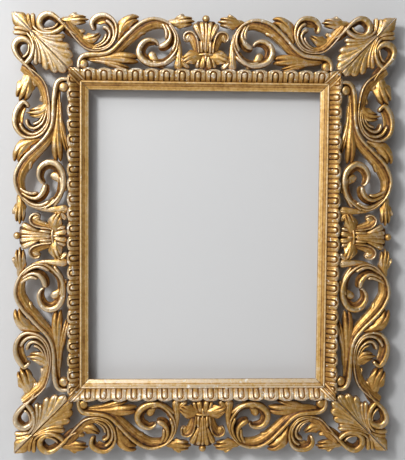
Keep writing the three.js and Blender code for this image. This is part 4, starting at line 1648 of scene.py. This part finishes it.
@dataclass
class BackFittings:
    """The turn buttons, the hangers and their screws on the frame's back."""

    brass: bpy.types.Material
    steel: bpy.types.Material
    button: TurnButton = field(default_factory=TurnButton)
    screw: SlottedScrew = field(default_factory=SlottedScrew)
    ring: WireRing = field(default_factory=WireRing)
    strap: HangerStrap = field(default_factory=HangerStrap)

    def add(self, node: str, patch: Patch, body: str, metal: bpy.types.Material, slot: str) -> None:
        """Makes one fitting's piece, of a shape in millimetres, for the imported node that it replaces."""
        stand_in(new_piece(f"fine_{node}", patch, patch.points * MM, [metal]), node, body)

    def build(self) -> None:
        """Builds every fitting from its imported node's box; each screw's slot points its own way."""
        rng = np.random.default_rng(SEED)
        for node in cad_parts:
            box = NodeBox.of(node)
            if node.startswith("turn_button"):
                self.add(node, self.button.shape(box), node, self.brass, "brass")
            elif node.startswith("d_ring"):
                self.add(node, self.ring.shape(box), node, self.steel, "steel")
            elif node.startswith("hanger_strap"):
                self.add(node, self.strap.shape(box), BODY, self.steel, "steel")
            elif node.startswith("button_screw"):
                self.add(node, self.screw.shape(box, rng.uniform(0.0, np.pi)), BODY, self.brass, "brass")
            elif node.startswith("hanger_screw"):
                self.add(node, self.screw.shape(box, rng.uniform(0.0, np.pi)), BODY, self.steel, "steel")


WALL_PAINT = (0.64, 0.65, 0.665, 1.0)
FLOOR_PAINT = (0.72, 0.71, 0.70, 1.0)
WORLD_COLOUR = (0.80, 0.83, 0.88, 1.0)
WORLD_STRENGTH = 0.015
# Each lamp's name, place from the middle of the frame, side, power and colour
LAMPS = (
    ("key_lamp", (-1.2, -1.9, 1.12), 0.42, 36.0, (1.0, 0.99, 0.97)),
    ("window_lamp", (-1.55, -1.9, 1.5), 3.0, 72.0, (1.0, 0.99, 0.98)),
    ("fill_lamp", (1.6, -2.0, -0.3), 1.6, 1.2, (0.96, 0.98, 1.0)),
    ("back_lamp", (-0.3, 2.6, 0.35), 1.4, 15.0, (1.0, 0.99, 0.97)),
)


@dataclass
class Studio:
    """The wall, the floor, the lamps and the camera."""

    wall_place: float = 0.0065
    floor_height: float = -1.35
    half_room: float = 3.0
    room_top: float = 2.2
    camera_place: Span = (-0.0937, -1.7094, -0.1455)
    camera_aim: Span = (-0.003, -0.0245, -0.2535)
    camera_roll: float = -0.484
    focal_pixels: float = 1000.0
    image_height: float = 460.0
    sensor: float = 36.0

    def camera(self) -> None:
        """Places the camera where the photograph was taken from."""
        data = bpy.data.cameras.new("camera")
        data.sensor_width = self.sensor
        data.lens = self.focal_pixels / self.image_height * self.sensor
        camera = placed("camera", data)
        look = Vector(self.camera_aim) - Vector(self.camera_place)
        roll = Matrix.Rotation(math.radians(-self.camera_roll), 3, "Z")
        turn = look.to_track_quat("-Z", "Y").to_matrix() @ roll
        camera.matrix_world = Matrix.Translation(self.camera_place) @ turn.to_4x4()
        bpy.context.scene.camera = camera

    def lamp(self, name: str, offset: Span, size: float, watts: float, colour: Span) -> None:
        """Adds a square soft lamp that points at the middle of the frame.

        Args:
            name: the lamp's name.
            offset: where it hangs, from the middle of the frame.
            size: the length of its side.
            watts: its power.
            colour: its colour.
        """
        data = bpy.data.lights.new(name, "AREA")
        data.size = size
        data.energy = watts
        data.color = colour
        lamp = placed(name, data)
        place = Vector((0.0, 0.0, self.camera_aim[2])) + Vector(offset)
        turn = Vector(offset).to_track_quat("Z", "Y").to_matrix()
        lamp.matrix_world = Matrix.Translation(place) @ turn.to_4x4()

    def paint(self, name: str, colour: Colour) -> bpy.types.Material:
        """Matt paint that only shows from its front, and lets lamps behind it light the frame's back.

        Args:
            name: the material's name.
            colour: the paint's colour.

        Returns:
            The material.
        """
        material, shader = new_material(name)
        place = shader.add("ShaderNodeTexCoord").outputs["Object"]
        shade = shader.noise(place, 1.6, 2.0)
        mixed = shader.mix(shade, colour, tuple(0.9 * part for part in colour[:3]) + (1.0,))
        matt = shader.add("ShaderNodeBsdfDiffuse", {"Color": mixed})
        clear = shader.add("ShaderNodeBsdfTransparent")
        shadow = shader.add("ShaderNodeLightPath").outputs["Is Shadow Ray"]
        behind = shader.add("ShaderNodeNewGeometry").outputs["Backfacing"]
        unseen = shader.math("MAXIMUM", behind, shadow)
        surface = shader.add("ShaderNodeMixShader", {0: unseen, 1: matt.outputs[0], 2: clear.outputs[0]})
        shader.add("ShaderNodeOutputMaterial", {"Surface": surface.outputs[0]})
        return material

    def plane(self, name: str, corners: np.ndarray, material: bpy.types.Material) -> None:
        """Adds one flat stage piece.

        Args:
            name: the object's name.
            corners: its four corners, anticlockwise as seen from its front.
            material: its paint.
        """
        mesh = bpy.data.meshes.new(name)
        mesh.from_pydata(corners.tolist(), [], [(0, 1, 2, 3)])
        mesh.materials.append(material)
        placed(name, mesh)

    def build(self) -> None:
        """Sets up the stage, the lamps, the world and the camera."""
        half = self.half_room
        low = self.floor_height
        depth = self.wall_place
        top = self.room_top
        wall = np.array([(-half, depth, low), (half, depth, low), (half, depth, top), (-half, depth, top)])
        floor = np.array([(-half, -half, low), (half, -half, low), (half, half, low), (-half, half, low)])
        self.plane("wall", wall, self.paint("wall_paint", WALL_PAINT))
        self.plane("floor", floor, self.paint("floor_paint", FLOOR_PAINT))
        for lamp in LAMPS:
            self.lamp(*lamp)
        world = bpy.data.worlds.new("studio_world")
        bpy.context.scene.world = world
        world.use_nodes = True
        background = world.node_tree.nodes["Background"]
        background.inputs["Color"].default_value = WORLD_COLOUR
        background.inputs["Strength"].default_value = WORLD_STRENGTH
        bpy.context.scene.view_settings.view_transform = "Standard"
        self.camera()


# What the relief of each side's carved rail, egg moulding and sight moulding is multiplied by: wear, together
# with painted light and painted shade that make each side lighter or darker as the light falls on it
RUBBING_AND_SIDE_LIGHT = {
    Side.TOP: (0.98, 1.3, 1.03),
    Side.LEFT: (1.08, 1.07, 1.16),
    Side.BOTTOM: (0.8, 1.72, 1.65),
    Side.RIGHT: (0.88, 1.02, 1.13),
}


class PictureFrame:
    """The whole frame: builds each rail's pieces and the fittings, and dresses the carried-over parts."""

    def __init__(self) -> None:
        """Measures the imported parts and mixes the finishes."""
        self.sizes = FrameSizes.from_frame()
        self.plan = FoliagePlan()
        groups = NodeGroups()
        gilt = groups.worn_gilding
        self.carving = gilding("gilded_carving", 0.9, -1.2, 0.7, 1.0).material(gilt)
        self.worn_carving = gilding("worn_carving", 0.9, -0.6, 1.5, 0.9).material(gilt)
        self.eggs = gilding("gilded_eggs", 1.0, 0.3, 0.5, 0.8).material(gilt)
        # the bottom mouldings' paler finishes hold wear and painted light on faces that turn up to the lamps
        self.worn_and_lit_eggs = gilding("worn_and_lit_eggs", 0.6, 0.3, 1.5, 0.6).material(gilt)
        self.sight = gilding("gilded_sight", 0.6, -1.5, 0.0, 0.35).material(gilt)
        self.worn_and_lit_sight = gilding("worn_and_lit_sight", 0.4, -0.3, 1.1, 0.5).material(gilt)
        woods = (
            ("bare_wood_across", OLD_WOOD, 0.0),
            ("bare_wood_upright", OLD_WOOD, math.pi / 2),
            ("key_wood", KEY_WOOD, math.pi / 4),
        )
        self.across, self.upright, self.key_wood = (
            Finish(
                name, colours, bump=0.35, bump_height=0.0008, turn=(0.0, turn, 0.0),
            ).material(groups.wood_grain)
            for name, colours, turn in woods
        )
        self.brass, self.steel = (
            Finish(name, colours, bump=0.2, bump_height=0.0002).material(groups.old_metal)
            for name, colours in (("old_brass", BRASS), ("old_steel", STEEL))
        )

    def rails(self) -> None:
        """Builds the carved rail, the egg moulding and the sight moulding of every side."""
        for side in Side:
            rail = Rail(side, self.sizes)
            wood = self.upright if side.upright else self.across
            carving = self.worn_carving if side is Side.TOP else self.carving
            eggs, sight = (self.eggs, self.sight)
            # the bottom takes the paler finishes: wear, and painted light on its upward-facing mouldings
            if side is Side.BOTTOM:
                eggs, sight = (self.worn_and_lit_eggs, self.worn_and_lit_sight)
            pieces = (
                ("carved_rail", CarvedRail(rail, self.plan).carve(), [carving, wood]),
                ("egg_moulding", EggMoulding(rail).carve(), [eggs]),
                ("sight_moulding", SightMoulding(rail).carve(), [sight, wood]),
            )
            for (kind, patch, finish), rubbed in zip(pieces, RUBBING_AND_SIDE_LIGHT[side]):
                name = f"{kind}_{side.label}"
                # each side's factor brings wear, with painted light on some sides and painted shade on others
                patch.relief = np.clip(patch.relief * rubbed, 0.0, 1.0)
                piece = new_piece(f"gilded_{name}", patch, rail.to_world(patch.points), finish)
                stand_in(piece, name, BODY)

    def fittings(self) -> None:
        """Builds the metal fittings on the back."""
        BackFittings(self.brass, self.steel).build()

    def dress_nodes(self) -> None:
        """Gives the back rails and the corner keys, which stay as they were packed, their wood."""
        woods = {"corner_key": self.key_wood}
        woods |= {f"back_rail_{side.label}": self.upright if side.upright else self.across for side in Side}
        for name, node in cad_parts.items():
            for start, wood in woods.items():
                if name.startswith(start):
                    node.data.materials.clear()
                    node.data.materials.append(wood)
                    LOG.info("%s dressed in %s", name, wood.name)


def main() -> None:
    """Builds the stage and the frame, and reports each piece."""
    logging.basicConfig(level=logging.INFO, format="%(name)s: %(message)s")
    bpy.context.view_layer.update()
    Studio().build()
    picture_frame = PictureFrame()
    picture_frame.rails()
    picture_frame.fittings()
    picture_frame.dress_nodes()


if __name__ == "__main__":
    main()
